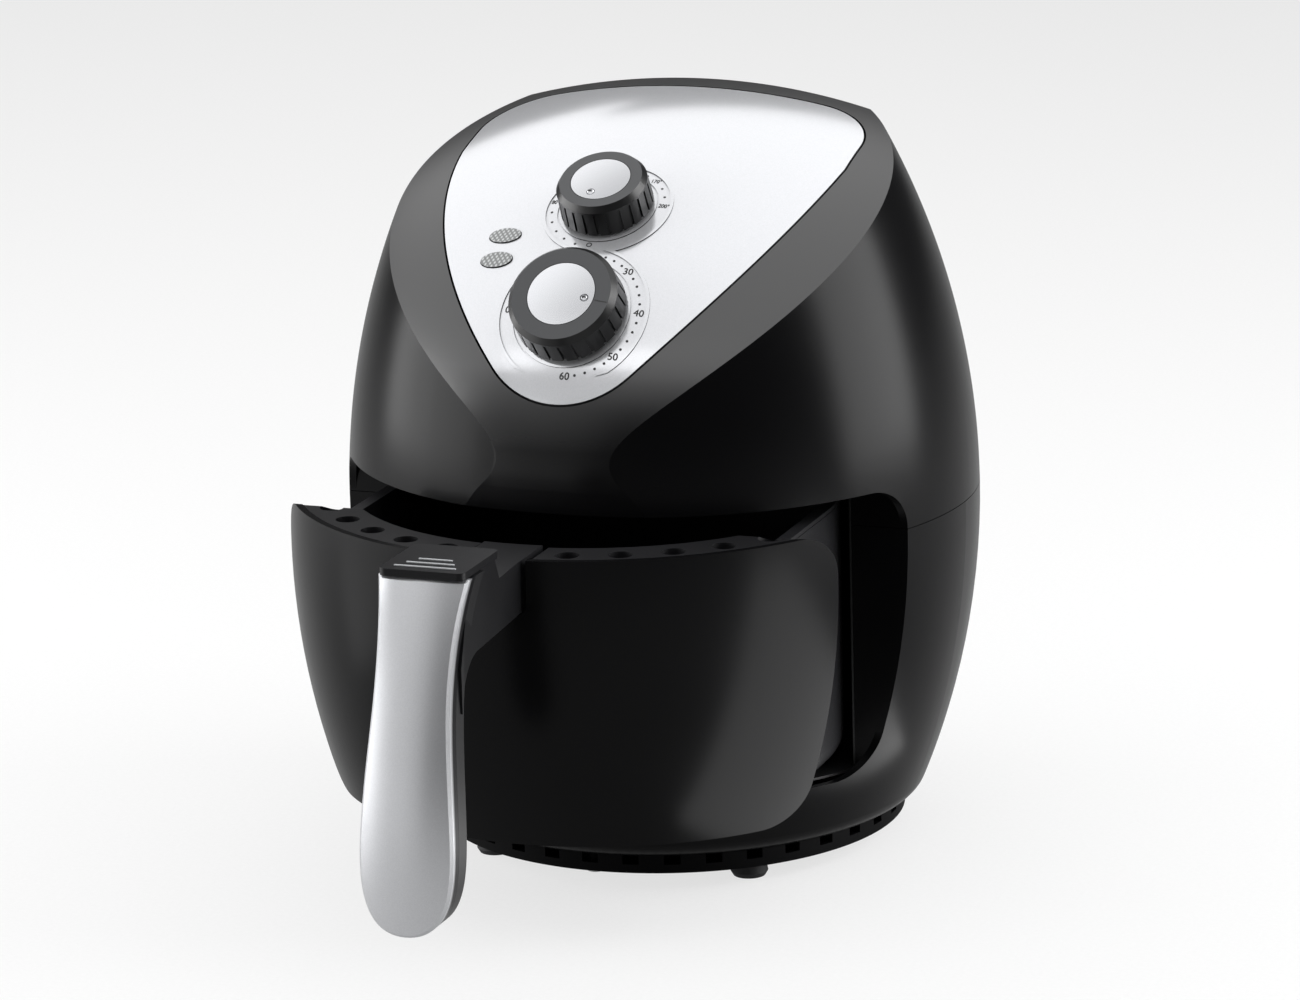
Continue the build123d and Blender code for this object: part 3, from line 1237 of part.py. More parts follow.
HOUSING = {
    "lower_housing": make_lower_housing,
    "upper_housing": make_upper_housing,
    "control_panel": make_control_panel,
    "indicator_lenses": make_indicator_lenses,
    "indicator_lamps": make_indicator_lamps,
    "base_plate": make_base_plate,
    "rubber_feet": make_rubber_feet,
    "base_screws": make_base_screws,
    "chamber_liner": make_chamber_liner,
    "drawer_rails": make_drawer_rails,
    "heat_reflector": make_heat_reflector,
    "heating_element": make_heating_element,
    "heater_brackets": make_heater_brackets,
    "heater_guard": make_heater_guard,
    "fan_motor": make_fan_motor,
    "motor_bracket": make_motor_bracket,
    "motor_shaft": make_motor_shaft,
    "hot_air_fan": make_hot_air_fan,
    "cooling_fan": make_cooling_fan,
    "fan_nut": make_fan_nut,
    "timer_knob": lambda: make_knob(TIMER_Y, TIMER_KNOB_R, TIMER_RING_R, TIMER_CAP_R),
    "timer_cap": lambda: make_cap(TIMER_Y, TIMER_CAP_R, TIMER_POINTER),
    "timer_shaft": lambda: make_dial_shaft(TIMER_Y),
    "timer_unit": make_timer_unit,
    "temperature_knob": lambda: make_knob(TEMP_Y, TEMP_KNOB_R, TEMP_RING_R, TEMP_CAP_R),
    "temperature_cap": lambda: make_cap(TEMP_Y, TEMP_CAP_R, TEMP_POINTER),
    "thermostat_shaft": lambda: make_dial_shaft(TEMP_Y),
    "thermostat_unit": make_thermostat_unit,
    "rear_grille": make_rear_grille,
    "air_duct": make_air_duct,
    "cord_gland": make_cord_gland,
    "interlock_switch": make_interlock_switch,
    "terminal_block": make_terminal_block,
    "thermal_fuse": make_thermal_fuse,
}

DRAWER = {
    "pan": make_pan,
    "drawer_front": make_drawer_front,
    "drawer_top_trim": make_drawer_top_trim,
    "basket": make_basket,
    "basket_grate": make_basket_grate,
    "basket_bumpers": make_basket_bumpers,
    "handle_body": make_handle_body,
    "handle_cover": make_handle_cover,
    "handle_screws": make_handle_screws,
    "latch_catch": make_latch_catch,
    "latch_lever": make_latch_lever,
    "lever_pin": make_lever_pin,
    "button_guard": make_button_guard,
    "release_button": make_release_button,
    "button_spring": make_button_spring,
}

os.makedirs("parts", exist_ok=True)
for node, make in HOUSING.items():
    write(node, make())
for node, make in DRAWER.items():
    write(node, make(), DRAWER_OUT)
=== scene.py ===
"""Finishes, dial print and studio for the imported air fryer."""
import json
import math

import bmesh
import bpy
from bpy.props import FloatProperty, FloatVectorProperty, IntProperty, PointerProperty
from mathutils import Matrix, Vector
from mathutils.bvhtree import BVHTree


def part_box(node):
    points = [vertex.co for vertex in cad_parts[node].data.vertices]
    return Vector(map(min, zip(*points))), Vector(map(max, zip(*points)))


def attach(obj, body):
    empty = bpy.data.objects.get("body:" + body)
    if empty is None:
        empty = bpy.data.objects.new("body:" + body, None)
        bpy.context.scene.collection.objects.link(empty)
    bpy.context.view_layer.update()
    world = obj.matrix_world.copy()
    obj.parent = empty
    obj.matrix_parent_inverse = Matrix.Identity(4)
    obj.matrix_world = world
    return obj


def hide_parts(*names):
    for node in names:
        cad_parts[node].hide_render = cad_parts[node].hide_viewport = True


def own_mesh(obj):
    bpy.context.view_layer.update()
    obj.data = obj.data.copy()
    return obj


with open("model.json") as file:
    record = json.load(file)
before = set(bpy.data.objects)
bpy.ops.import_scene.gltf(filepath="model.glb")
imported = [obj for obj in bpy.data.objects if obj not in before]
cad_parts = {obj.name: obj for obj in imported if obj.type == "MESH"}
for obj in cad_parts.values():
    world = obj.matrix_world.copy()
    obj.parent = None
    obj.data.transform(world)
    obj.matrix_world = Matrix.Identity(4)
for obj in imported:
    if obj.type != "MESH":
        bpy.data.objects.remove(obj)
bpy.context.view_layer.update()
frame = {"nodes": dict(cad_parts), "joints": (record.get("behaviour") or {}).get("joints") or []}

bl_info = {
    "name": "Air Fryer Finishes",
    "version": (1, 0, 0),
    "blender": (4, 5, 0),
    "location": "3D View > Sidebar > Air Fryer",
    "description": "Dresses the packed air fryer with its finishes, dial print and studio",
    "category": "Object",
}

MM = 0.001
JOINTS = {joint["name"]: joint for joint in frame["joints"]}

# The ellipsoid that the domed face of the upper shell follows.
DOME_CENTRE = (0, 80 * MM, 180 * MM)
DOME_RADII = (212 * MM, 212 * MM, 137 * MM)

# Pitch of a Wave texture's bands at a scale of 1.
WAVE_PITCH = math.pi / 10

# Gloss black of the shells: sizes of its clouds and grain and depth of the grain in millimetres, limits of
# its roughness, and its specular level.
ABS_IOR = 1.53
CLOUD_SIZE = 38
GLOSS_GRAIN = 1.6
GLOSS_DEPTH = 0.004
GLOSS_LOW = 0.23
GLOSS_HIGH = 0.28
GLOSS_LEVEL = 0.1

# Satin lacquer of the domed face: its share of the dome's radii, the lean of faces that have none, as
# cosines, and the heights down which it fades to a share as painted shade, darker towards the bottom.
LACQUER_FROM = 0.9994
LACQUER_FULL = 0.9998
LACQUER_WALL = 0.995
LACQUER_FLAT = 0.998
LACQUER_ROUGHNESS = 0.33
LACQUER_LEVEL = 0.9
NECK_LOW = 196 * MM
NECK_HIGH = 226 * MM
NECK_SHADE_SHARE = 0.12

# Lean of walls and flat faces on the panel, lenses and dials, as cosines.
WALL_LEAN = 0.8
FLAT_LEAN = 0.95

# The cylinder that the face of the grip follows, and how far behind it the silver turns to black.
GRIP_CENTRE = (0, 56.3 * MM, 39.1 * MM)
GRIP_RADIUS = 356.3 * MM
FADE_START = 3.8 * MM
FADE_END = 6.0 * MM

# Lean of the lenses' lattice in degrees, the way towards which the painted sheen on the dial caps grows
# brighter and how far it reaches, and the heights between which the guard's ribs take ink.
LATTICE_LEAN = 40
CAP_PAINTED_SHEEN = (-0.8, 0.6, 0)
CAP_PAINTED_SHEEN_REACH = 18 * MM
RIB_INK_FROM = 183.35 * MM
RIB_INK_TO = 183.45 * MM

# Reach of a speck in the coating, as shares of a cell: pale up to the first, gone at the second.
SPECK_EDGE = 0.08
SPECK_END = 0.13

# Dial print. Angles run counter-clockwise from the right, as seen from the front. Steps are those of the
# dots from one figure to the next.
SCALES = {
    "timer": {
        "figures": ("0", "10", "20", "30", "40", "50", "60"),
        "first": math.radians(180),
        "sweep": math.radians(-265),
        "steps": 5,
    },
    "temperature": {
        "figures": ("80°", "110°", "140°", "170°", "200°"),
        "first": math.radians(175.5),
        "sweep": math.radians(-169),
        "steps": 3,
    },
}

# The off mark of the temperature dial, and the dots from it back to the first figure.
OFF_ANGLE = math.radians(-93)
OFF_DOTS = 5
OFF_INSET = 0.8 * MM

# The line on the timer's ring.
POINTER_ANGLE = math.radians(-8)
POINTER_FROM = 15.2 * MM
POINTER_TO = 20.6 * MM

# Steps in each curve of a figure, how far off a dial the print looks for the face under it, and how close
# points are when they count as one.
FIGURE_STEPS = 3
PRINT_REACH = 60 * MM
WELD = 0.001 * MM

# Coil of the button's spring.
COIL_STEPS = 48
COIL_TURNS = 3.0
WIRE_SIDES = 12
WIRE_RADIUS = 0.5 * MM

# Studio, in metres. A softbox has a name, centre, aim, width, height, the setting that gives its radiance
# and its share of it. A low card has its place across and along, width, depth, turn and share.
SENSOR_WIDTH = 36
CLIP_END = 100
FLOOR_HALF = 12
SOFTBOXES = (
    ("overhead", (0.3, 0.2, 1.5), (0.3, 0.2, 0), 2.6, 3.1, "overhead", 1.0),
    ("overhead_left", (-1.6, 0.4, 1.5), (-1.6, 0.4, 0), 1.2, 3.5, "overhead", 1.0),
    ("front", (-0.1, -2.0, 1.95), (-0.1, 0, 0.2), 3.3, 1.2, "front", 1.0),
    ("right_side", (1.26, 0.31, 0.56), (0, 0, 0.15), 0.9, 1.1, "side", 1.45),
    ("left_side", (-1.24, -0.39, 0.42), (0, 0, 0.15), 1.24, 0.8, "side", 1.0),
    ("left_strip", (-0.84, -1.0, 0.2), (0, 0, 0.1), 0.3, 0.4, "side", 0.42),
    ("grip_fill", (-0.52, -1.35, 0.42), (0, -0.28, 0.14), 0.6, 0.9, "front", 1.0),
)
LOW_CARDS = (
    (0.566, -0.2, 0.9, 0.24, math.radians(-15), 1.0),
    (-0.62, -0.42, 0.56, 0.5, 0, 0.35),
)
CARD_HEIGHT = 2 * MM


def linear(code):
    """Linear colour of an sRGB hex value."""
    parts = [int(code[i:i + 2], 16) / 255 for i in (0, 2, 4)]
    return tuple(c / 12.92 if c <= 0.04045 else ((c + 0.055) / 1.055) ** 2.4 for c in parts)


def tint(title, about, code):
    """A colour that a user may change."""
    return FloatVectorProperty(name=title, description=about, subtype="COLOR", size=3, min=0, max=1,
                               default=linear(code))


def length(title, about, millimetres):
    """A length that a user may change."""
    return FloatProperty(name=title, description=about, unit="LENGTH", min=0, default=millimetres * MM)


def angle(title, about, degrees):
    """An angle that a user may change."""
    return FloatProperty(name=title, description=about, subtype="ANGLE", default=math.radians(degrees))


def number(title, about, value):
    """A plain number that a user may change."""
    return FloatProperty(name=title, description=about, default=value)


class FinishSettings(bpy.types.PropertyGroup):
    """Colours of the finishes."""
    shell: tint("Shell", "Gloss black of the moulded housing and drawer front", "080809")
    bezel: tint("Bezel", "Satin black of the domed face round the panel", "101012")
    trim: tint("Trim", "Satin black of the trim and the handle's core", "121214")
    base: tint("Base", "Matt black of the base", "050506")
    knob: tint("Knob", "Black of the dials' fluted sides", "101011")
    ring: tint("Knob ring", "Satin grey of the dials' front rings", "404143")
    panel: tint("Panel", "Silver of the sprayed dial panel", "D4D5D8")
    handle: tint("Handle", "Silver of the sprayed handle cover", "D2D3D6")
    cap: tint("Dial cap", "Aluminium of the dial caps", "C6C7CA")
    lens: tint("Lens", "Grey of the indicator lenses", "8E9090")
    coating: tint("Coating", "Non-stick coating of the pan and basket", "1B1B1D")
    ink: tint("Ink", "Print on the dial panel", "0E0E10")
    line_ink: tint("Line ink", "Pale ink on the button guard's ribs", "A9ABAD")


class PrintSettings(bpy.types.PropertyGroup):
    """Sizes of the dial print."""
    timer_radius: length("Timer scale radius", "Circle that the minutes stand on", 28.5)
    timer_size: length("Timer figure size", "Type size of the minutes", 4.4)
    timer_width: number("Timer figure width", "Width of the minutes, 1 for plain type", 1.0)
    temperature_radius: length("Temperature scale radius", "Circle that the temperatures stand on", 23.9)
    temperature_size: length("Temperature figure size", "Type size of the temperatures", 3.3)
    temperature_width: number("Temperature figure width", "Width of the temperatures, 1 for plain type", 0.74)
    weight: length("Line weight", "How far the figures' lines are thickened on each side", 0.09)
    dot: length("Dot radius", "Radius of a scale dot", 0.58)
    dot_sides: IntProperty(name="Dot sides", description="Corners of a scale dot", default=16, min=8)
    thickness: length("Ink thickness", "How deep the print goes into the panel", 0.12)
    lift: length("Ink lift", "How far the print stands proud", 0.05)
    pointer: length("Pointer width", "Width of the line on the timer's ring", 0.5)


class StageSettings(bpy.types.PropertyGroup):
    """Camera, floor and lamps."""
    azimuth: angle("Azimuth", "Camera angle round the object", 20.5)
    elevation: angle("Elevation", "Camera angle above the horizon", 14.6)
    roll: angle("Roll", "Camera turn about its own axis", -1.47)
    distance: length("Distance", "Camera distance from the target", 2450)
    target: length("Target height", "Height that the camera looks at", 142.9)
    focal: number("Focal length", "Lens in millimetres on a 36 mm sensor", 158.12)
    shift: number("Shift", "Sideways framing as a share of the width", -0.01165)
    floor: tint("Floor", "Paper of the studio floor", "767676")
    glow: number("Floor glow", "How much the floor is lifted towards white where the camera sees it", 0.715)
    mirrored: number("Floor in mirrors", "Share of that glow that shows in reflections", 0.45)
    overhead: number("Overhead", "Radiance of the softboxes above", 1.36)
    side: number("Sides", "Radiance of the side softboxes", 5.5)
    front: number("Front", "Radiance of the softboxes in front", 0.6)
    card: number("Cards", "Radiance of the low cards, which show in reflections alone", 3.8)
    ambient: number("Ambient", "Strength of the room's own light", 0.05)


def add(tree, kind, inputs=None, **settings):
    """Adds a node with its settings, and fills or links its inputs."""
    made = tree.nodes.new(kind)
    for key, value in settings.items():
        setattr(made, key, value)
    for key, value in (inputs or {}).items():
        if isinstance(value, bpy.types.NodeSocket):
            tree.links.new(value, made.inputs[key])
        else:
            made.inputs[key].default_value = value
    return made


def per_mm(size_mm):
    """Texture scale, per metre, of a feature of a real size."""
    return 1 / (size_mm * MM)


def wave_scale(pitch_mm):
    """Scale of a Wave texture whose bands have a real pitch."""
    return per_mm(pitch_mm) * WAVE_PITCH


def finish(name, colour, roughness, metallic=0.0, **sockets):
    """A material whose shader has one finish. Returns it with its tree, shader and object coordinates."""
    made = bpy.data.materials.new(name)
    made.use_nodes = True
    tree = made.node_tree
    shader = tree.nodes["Principled BSDF"]
    shader.inputs["Base Color"].default_value = (*colour, 1)
    shader.inputs["Roughness"].default_value = roughness
    shader.inputs["Metallic"].default_value = metallic
    for key, value in sockets.items():
        shader.inputs[key.replace("_", " ")].default_value = value
    place = add(tree, "ShaderNodeTexCoord").outputs["Object"]
    return made, tree, shader, place


def shade(colour, gain):
    """A tone lighter or darker than a colour."""
    return tuple(min(1.0, c * gain) for c in colour)


def mottle(tree, shader, pattern, low, high):
    """Colour that wanders between two tones with a pattern."""
    tones = {"Factor": pattern, "A": (*low, 1), "B": (*high, 1)}
    mix = add(tree, "ShaderNodeMix", tones, data_type="RGBA")
    tree.links.new(mix.outputs["Result"], shader.inputs["Base Color"])


def recolour(tree, shader, mask, colour):
    """Lays a second colour over the first where a mask says so."""
    first = shader.inputs["Base Color"].links[0].from_socket
    mix = add(tree, "ShaderNodeMix", {"Factor": mask, "A": first, "B": (*colour, 1)}, data_type="RGBA")
    tree.links.new(mix.outputs["Result"], shader.inputs["Base Color"])


def polish(tree, shader, pattern, low, high):
    """Roughness that wanders between two values with a pattern."""
    span = add(tree, "ShaderNodeMapRange", {"Value": pattern, "To Min": low, "To Max": high})
    tree.links.new(span.outputs["Result"], shader.inputs["Roughness"])


def relief(tree, shader, pattern, depth_mm):
    """Bump of a real depth."""
    bump = add(tree, "ShaderNodeBump", {"Height": pattern, "Distance": depth_mm * MM, "Strength": 1.0})
    tree.links.new(bump.outputs["Normal"], shader.inputs["Normal"])


def dome_place(tree, place):
    """A point from the dome's middle, as shares of its radii."""
    local = add(tree, "ShaderNodeVectorMath", {0: place, 1: DOME_CENTRE}, operation="SUBTRACT")
    shares = {0: local.outputs["Vector"], 1: DOME_RADII}
    return add(tree, "ShaderNodeVectorMath", shares, operation="DIVIDE").outputs["Vector"]


def steepness(tree, place, wall=WALL_LEAN, flat=FLAT_LEAN):
    """1 on walls that stand across the dome, 0 on faces that follow it. The limits are cosines of lean."""
    slopes = {0: dome_place(tree, place), 1: DOME_RADII}
    slope = add(tree, "ShaderNodeVectorMath", slopes, operation="DIVIDE").outputs["Vector"]
    out = add(tree, "ShaderNodeVectorMath", {0: slope}, operation="NORMALIZE").outputs["Vector"]
    face = add(tree, "ShaderNodeNewGeometry").outputs["True Normal"]
    along = add(tree, "ShaderNodeVectorMath", {0: out, 1: face}, operation="DOT_PRODUCT").outputs["Value"]
    leans = {"Value": along, "From Min": wall, "From Max": flat, "To Min": 1.0, "To Max": 0.0}
    return add(tree, "ShaderNodeMapRange", leans).outputs["Result"]


def moulded_black(name, colour, grain_mm, depth_mm, low, high, level):
    """Black ABS from a steel mould: the mould's grain breaks the gloss and leaves a faint uneven sheen."""
    made, tree, shader, place = finish(name, colour, low, IOR=ABS_IOR, Specular_IOR_Level=level)
    cloud = add(tree, "ShaderNodeTexNoise", {"Vector": place, "Scale": per_mm(CLOUD_SIZE), "Detail": 3.0})
    mottle(tree, shader, cloud.outputs["Fac"], shade(colour, 0.8), shade(colour, 1.25))
    polish(tree, shader, cloud.outputs["Fac"], low, high)
    grain = add(tree, "ShaderNodeTexNoise", {"Vector": place, "Scale": per_mm(grain_mm), "Detail": 2.0})
    relief(tree, shader, grain.outputs["Fac"], depth_mm)
    return made


def shell_black(name, colour, bezel):
    """Gloss black ABS whose domed face has a satin lacquer up to the crease, which catches far more light.

    Down the neck under the panel the lacquer fades out as painted shade, so the face grows darker towards the
    bottom.
    """
    # The level is set as well as linked, because the export keeps only the value that is set.
    made, tree, shader, place = finish(name, colour, GLOSS_LOW, IOR=ABS_IOR, Specular_IOR_Level=GLOSS_LEVEL)
    out = add(tree, "ShaderNodeVectorMath", {0: dome_place(tree, place)}, operation="LENGTH").outputs["Value"]
    dome = {"Value": out, "From Min": LACQUER_FROM, "From Max": LACQUER_FULL}
    face = add(tree, "ShaderNodeMapRange", dome).outputs["Result"]
    wall = steepness(tree, place, LACQUER_WALL, LACQUER_FLAT)
    skin = add(tree, "ShaderNodeMath", {0: face, 1: wall}, operation="SUBTRACT", use_clamp=True)
    # Painted shade: down the neck the lacquer fades to a share, darkening the face towards the bottom.
    height = add(tree, "ShaderNodeSeparateXYZ", {"Vector": place}).outputs["Z"]
    neck_shade = {"Value": height, "From Min": NECK_LOW, "From Max": NECK_HIGH, "To Min": NECK_SHADE_SHARE}
    coat = {0: skin.outputs["Value"], 1: add(tree, "ShaderNodeMapRange", neck_shade).outputs["Result"]}
    lacquer_and_neck_shade = add(tree, "ShaderNodeMath", coat, operation="MULTIPLY").outputs["Value"]
    mottle(tree, shader, lacquer_and_neck_shade, colour, bezel)
    cloud = add(tree, "ShaderNodeTexNoise", {"Vector": place, "Scale": per_mm(CLOUD_SIZE), "Detail": 3.0})
    cloudy = {"Value": cloud.outputs["Fac"], "To Min": GLOSS_LOW, "To Max": GLOSS_HIGH}
    gloss = add(tree, "ShaderNodeMapRange", cloudy).outputs["Result"]
    sheens = {"Factor": lacquer_and_neck_shade, "A": gloss, "B": LACQUER_ROUGHNESS}
    sheen = add(tree, "ShaderNodeMix", sheens, data_type="FLOAT")
    tree.links.new(sheen.outputs["Result"], shader.inputs["Roughness"])
    levels = {"Value": lacquer_and_neck_shade, "To Min": GLOSS_LEVEL, "To Max": LACQUER_LEVEL}
    level = add(tree, "ShaderNodeMapRange", levels)
    tree.links.new(level.outputs["Result"], shader.inputs["Specular IOR Level"])
    grain = add(tree, "ShaderNodeTexNoise", {"Vector": place, "Scale": per_mm(GLOSS_GRAIN), "Detail": 2.0})
    relief(tree, shader, grain.outputs["Fac"], GLOSS_DEPTH)
    return made


def ribbed_black(name, colour, ink):
    """Black ABS with pale ink rolled on its raised ribs, so that only their tops are pale."""
    made, tree, shader, place = finish(name, colour, roughness=0.36, IOR=ABS_IOR, Specular_IOR_Level=0.16)
    height = add(tree, "ShaderNodeSeparateXYZ", {"Vector": place}).outputs["Z"]
    tops = {"Value": height, "From Min": RIB_INK_FROM, "From Max": RIB_INK_TO}
    mottle(tree, shader, add(tree, "ShaderNodeMapRange", tops).outputs["Result"], colour, ink)
    grain = add(tree, "ShaderNodeTexNoise", {"Vector": place, "Scale": per_mm(0.6), "Detail": 2.0})
    relief(tree, shader, grain.outputs["Fac"], depth_mm=0.008)
    return made


def ringed_black(name, colour, ring, joint):
    """Black ABS dial whose flat front ring is rubbed to a paler satin than the fluted side."""
    made = moulded_black(name, colour, grain_mm=0.7, depth_mm=0.005, low=0.26, high=0.34, level=0.35)
    tree = made.node_tree
    face = add(tree, "ShaderNodeNewGeometry").outputs["True Normal"]
    along = add(tree, "ShaderNodeVectorMath", {0: face, 1: joint["axis"]}, operation="DOT_PRODUCT")
    leans = {"Value": along.outputs["Value"], "From Min": WALL_LEAN, "From Max": FLAT_LEAN}
    front = add(tree, "ShaderNodeMapRange", leans).outputs["Result"]
    recolour(tree, tree.nodes["Principled BSDF"], front, ring)
    return made


def sprayed_silver(name, colour, low, high, metallic):
    """Silver lacquer sprayed on ABS: flat flakes in a clear binder give a fine glitter over a soft mirror."""
    made, tree, shader, place = finish(name, colour, low, metallic, Specular_IOR_Level=0.2)
    # Real flakes are far finer, and are drawn this coarse so that they show.
    flake = add(tree, "ShaderNodeTexVoronoi", {"Vector": place, "Scale": per_mm(0.35)})
    mottle(tree, shader, flake.outputs["Color"], shade(colour, 0.95), shade(colour, 1.04))
    cloud = add(tree, "ShaderNodeTexNoise", {"Vector": place, "Scale": per_mm(55), "Detail": 2.0})
    polish(tree, shader, cloud.outputs["Fac"], low, high)
    return made, tree, shader, place


def silver_with_painted_wall_shade(name, colour, low, high, metallic):
    """Silver lacquer over ridges and grooves, with painted shade: their walls and the outer edge are darkened
    to a dark grey.
    """
    made, tree, shader, place = sprayed_silver(name, colour, low, high, metallic)
    # Painted shade: walls that stand across the dome, in grooves, on rims and round the edge, take a dark
    # grey.
    recolour(tree, shader, steepness(tree, place), shade(colour, 0.2))
    return made


def fading_silver(name, colour, fade_colour, low, high, metallic):
    """Silver lacquer that turns to a second colour, and loses its metal, between two depths behind its face.
    """
    made, tree, shader, place = sprayed_silver(name, colour, low, high, metallic)
    local = add(tree, "ShaderNodeVectorMath", {0: place, 1: GRIP_CENTRE}, operation="SUBTRACT")
    profile = {0: local.outputs["Vector"], 1: (0, 1, 1)}
    side = add(tree, "ShaderNodeVectorMath", profile, operation="MULTIPLY").outputs["Vector"]
    out = add(tree, "ShaderNodeVectorMath", {0: side}, operation="LENGTH").outputs["Value"]
    fade = {"Value": out, "From Min": GRIP_RADIUS - FADE_START, "From Max": GRIP_RADIUS - FADE_END}
    deep = add(tree, "ShaderNodeMapRange", fade).outputs["Result"]
    recolour(tree, shader, deep, fade_colour)
    metal = add(tree, "ShaderNodeMapRange", {"Value": deep, "To Min": metallic, "To Max": 0.0})
    tree.links.new(metal.outputs["Result"], shader.inputs["Metallic"])
    return made


def spun_aluminium(name, colour, joint):
    """Aluminium disc turned on a lathe: fine rings about its axis, and a painted sheen that grows brighter to
    one side.
    """
    made, tree, shader, place = finish(name, colour, roughness=0.26, metallic=1.0)
    turn = Vector(joint["axis"]).rotation_difference(Vector((0, 0, 1)))
    laid = {"Vector": place, "Location": -(turn @ Vector(joint["pos_m"])), "Rotation": turn.to_euler()}
    flat = add(tree, "ShaderNodeMapping", laid).outputs["Vector"]
    # Painted sheen: the cap's colour grows lighter towards one side, as a reflection on a spun disc would.
    across = add(tree, "ShaderNodeVectorMath", {0: flat, 1: CAP_PAINTED_SHEEN}, operation="DOT_PRODUCT")
    painted_sheen_reach = {"Value": across.outputs["Value"], "From Min": -CAP_PAINTED_SHEEN_REACH, "From Max": CAP_PAINTED_SHEEN_REACH}
    sheen = add(tree, "ShaderNodeMapRange", painted_sheen_reach, interpolation_type="SMOOTHSTEP")
    mottle(tree, shader, sheen.outputs["Result"], shade(colour, 0.7), shade(colour, 1.15))
    # A lathe leaves finer rings, which are drawn this coarse so that they show.
    lathe = {"Vector": flat, "Scale": wave_scale(pitch_mm=1.0)}
    rings = add(tree, "ShaderNodeTexWave", lathe, wave_type="RINGS", rings_direction="Z").outputs["Fac"]
    polish(tree, shader, rings, low=0.2, high=0.26)
    relief(tree, shader, rings, depth_mm=0.0003)
    return made


def lattice_lens(name, colour):
    """Polycarbonate lens with a lattice moulded on its back, drawn coarse to show, and painted shade on its
    side walls, which gives a dark rim.
    """
    made, tree, shader, place = finish(name, colour, roughness=0.18, IOR=1.58)
    bands = []
    for lean in (LATTICE_LEAN, -LATTICE_LEAN):
        laid = {"Vector": place, "Rotation": (0, 0, math.radians(lean))}
        turned = add(tree, "ShaderNodeMapping", laid).outputs["Vector"]
        ribs = {"Vector": turned, "Scale": wave_scale(pitch_mm=1.6)}
        band = add(tree, "ShaderNodeTexWave", ribs, wave_type="BANDS", bands_direction="X")
        bands.append(band.outputs["Fac"])
    lattice = add(tree, "ShaderNodeMath", dict(enumerate(bands)), operation="MULTIPLY").outputs["Value"]
    mottle(tree, shader, lattice, shade(colour, 0.6), shade(colour, 2.1))
    # Painted shade: the lens's side walls are darkened to a dark rim.
    recolour(tree, shader, steepness(tree, place), shade(colour, 0.1))
    relief(tree, shader, lattice, depth_mm=0.05)
    return made


def fired_coating(name, colour):
    """Non-stick coating fired on steel: black with pale specks and a soft sheen."""
    made, tree, shader, place = finish(name, colour, roughness=0.34, IOR=1.38)
    cells = add(tree, "ShaderNodeTexVoronoi", {"Vector": place, "Scale": per_mm(2.2)}).outputs["Distance"]
    edges = {"Value": cells, "From Min": SPECK_EDGE, "From Max": SPECK_END, "To Min": 1.0, "To Max": 0.0}
    specks = add(tree, "ShaderNodeMapRange", edges).outputs["Result"]
    mottle(tree, shader, specks, colour, shade(colour, 5.0))
    grain = add(tree, "ShaderNodeTexNoise", {"Vector": place, "Scale": per_mm(0.7), "Detail": 3.0})
    polish(tree, shader, grain.outputs["Fac"], low=0.28, high=0.42)
    relief(tree, shader, grain.outputs["Fac"], depth_mm=0.01)
    return made


def sheet_metal(name, colour, spangle_mm, low, high):
    """Coated sheet or plated steel: crystals of the coating show as faint patches of different sheen."""
    made, tree, shader, place = finish(name, colour, low, metallic=1.0)
    spangle = add(tree, "ShaderNodeTexVoronoi", {"Vector": place, "Scale": per_mm(spangle_mm)})
    mottle(tree, shader, spangle.outputs["Color"], shade(colour, 0.85), shade(colour, 1.1))
    polish(tree, shader, spangle.outputs["Color"], low, high)
    grain = add(tree, "ShaderNodeTexNoise", {"Vector": place, "Scale": per_mm(0.6), "Detail": 2.0})
    relief(tree, shader, grain.outputs["Fac"], depth_mm=0.006)
    return made


def plain_solid(name, colour, grain_mm, low, high, **sockets):
    """A through-coloured solid, such as rubber or thermoset plastic, with a moulded grain."""
    made, tree, shader, place = finish(name, colour, low, **sockets)
    grain = add(tree, "ShaderNodeTexNoise", {"Vector": place, "Scale": per_mm(grain_mm), "Detail": 3.0})
    mottle(tree, shader, grain.outputs["Fac"], shade(colour, 0.85), shade(colour, 1.15))
    polish(tree, shader, grain.outputs["Fac"], low, high)
    relief(tree, shader, grain.outputs["Fac"], depth_mm=0.02)
    return made


def dress(made, *names):
    """Gives CAD nodes a finish."""
    for name in names:
        mesh = frame["nodes"][name].data
        mesh.materials.clear()
        mesh.materials.append(made)


def shown(name, data):
    """A new object in the scene, at the origin."""
    made = bpy.data.objects.new(name, data)
    bpy.context.scene.collection.objects.link(made)
    return made


def plain_mesh(item):
    """The final mesh of an object, with the object itself removed."""
    graph = bpy.context.evaluated_depsgraph_get()
    made = bpy.data.meshes.new_from_object(item.evaluated_get(graph), depsgraph=graph)
    data = item.data
    bpy.data.objects.remove(item)
    (bpy.data.curves if isinstance(data, bpy.types.Curve) else bpy.data.meshes).remove(data)
    return made


def one_mesh(name, meshes, made):
    """Several meshes as one, with one finish."""
    whole = bmesh.new()
    for mesh in meshes:
        whole.from_mesh(mesh)
        bpy.data.meshes.remove(mesh)
    joined = bpy.data.meshes.new(name)
    whole.to_mesh(joined)
    whole.free()
    joined.materials.append(made)
    return joined


def rectangle(name, left, right, near, far):
    """A flat rectangle as a mesh."""
    made = bpy.data.meshes.new(name)
    corners = [(left, near, 0), (right, near, 0), (right, far, 0), (left, far, 0)]
    made.from_pydata(corners, [], [(0, 1, 2, 3)])
    return made


def surface_of(name):
    """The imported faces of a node, to drop print on."""
    mesh = frame["nodes"][name].data
    points = [vert.co.copy() for vert in mesh.vertices]
    return BVHTree.FromPolygons(points, [tuple(face.vertices) for face in mesh.polygons])


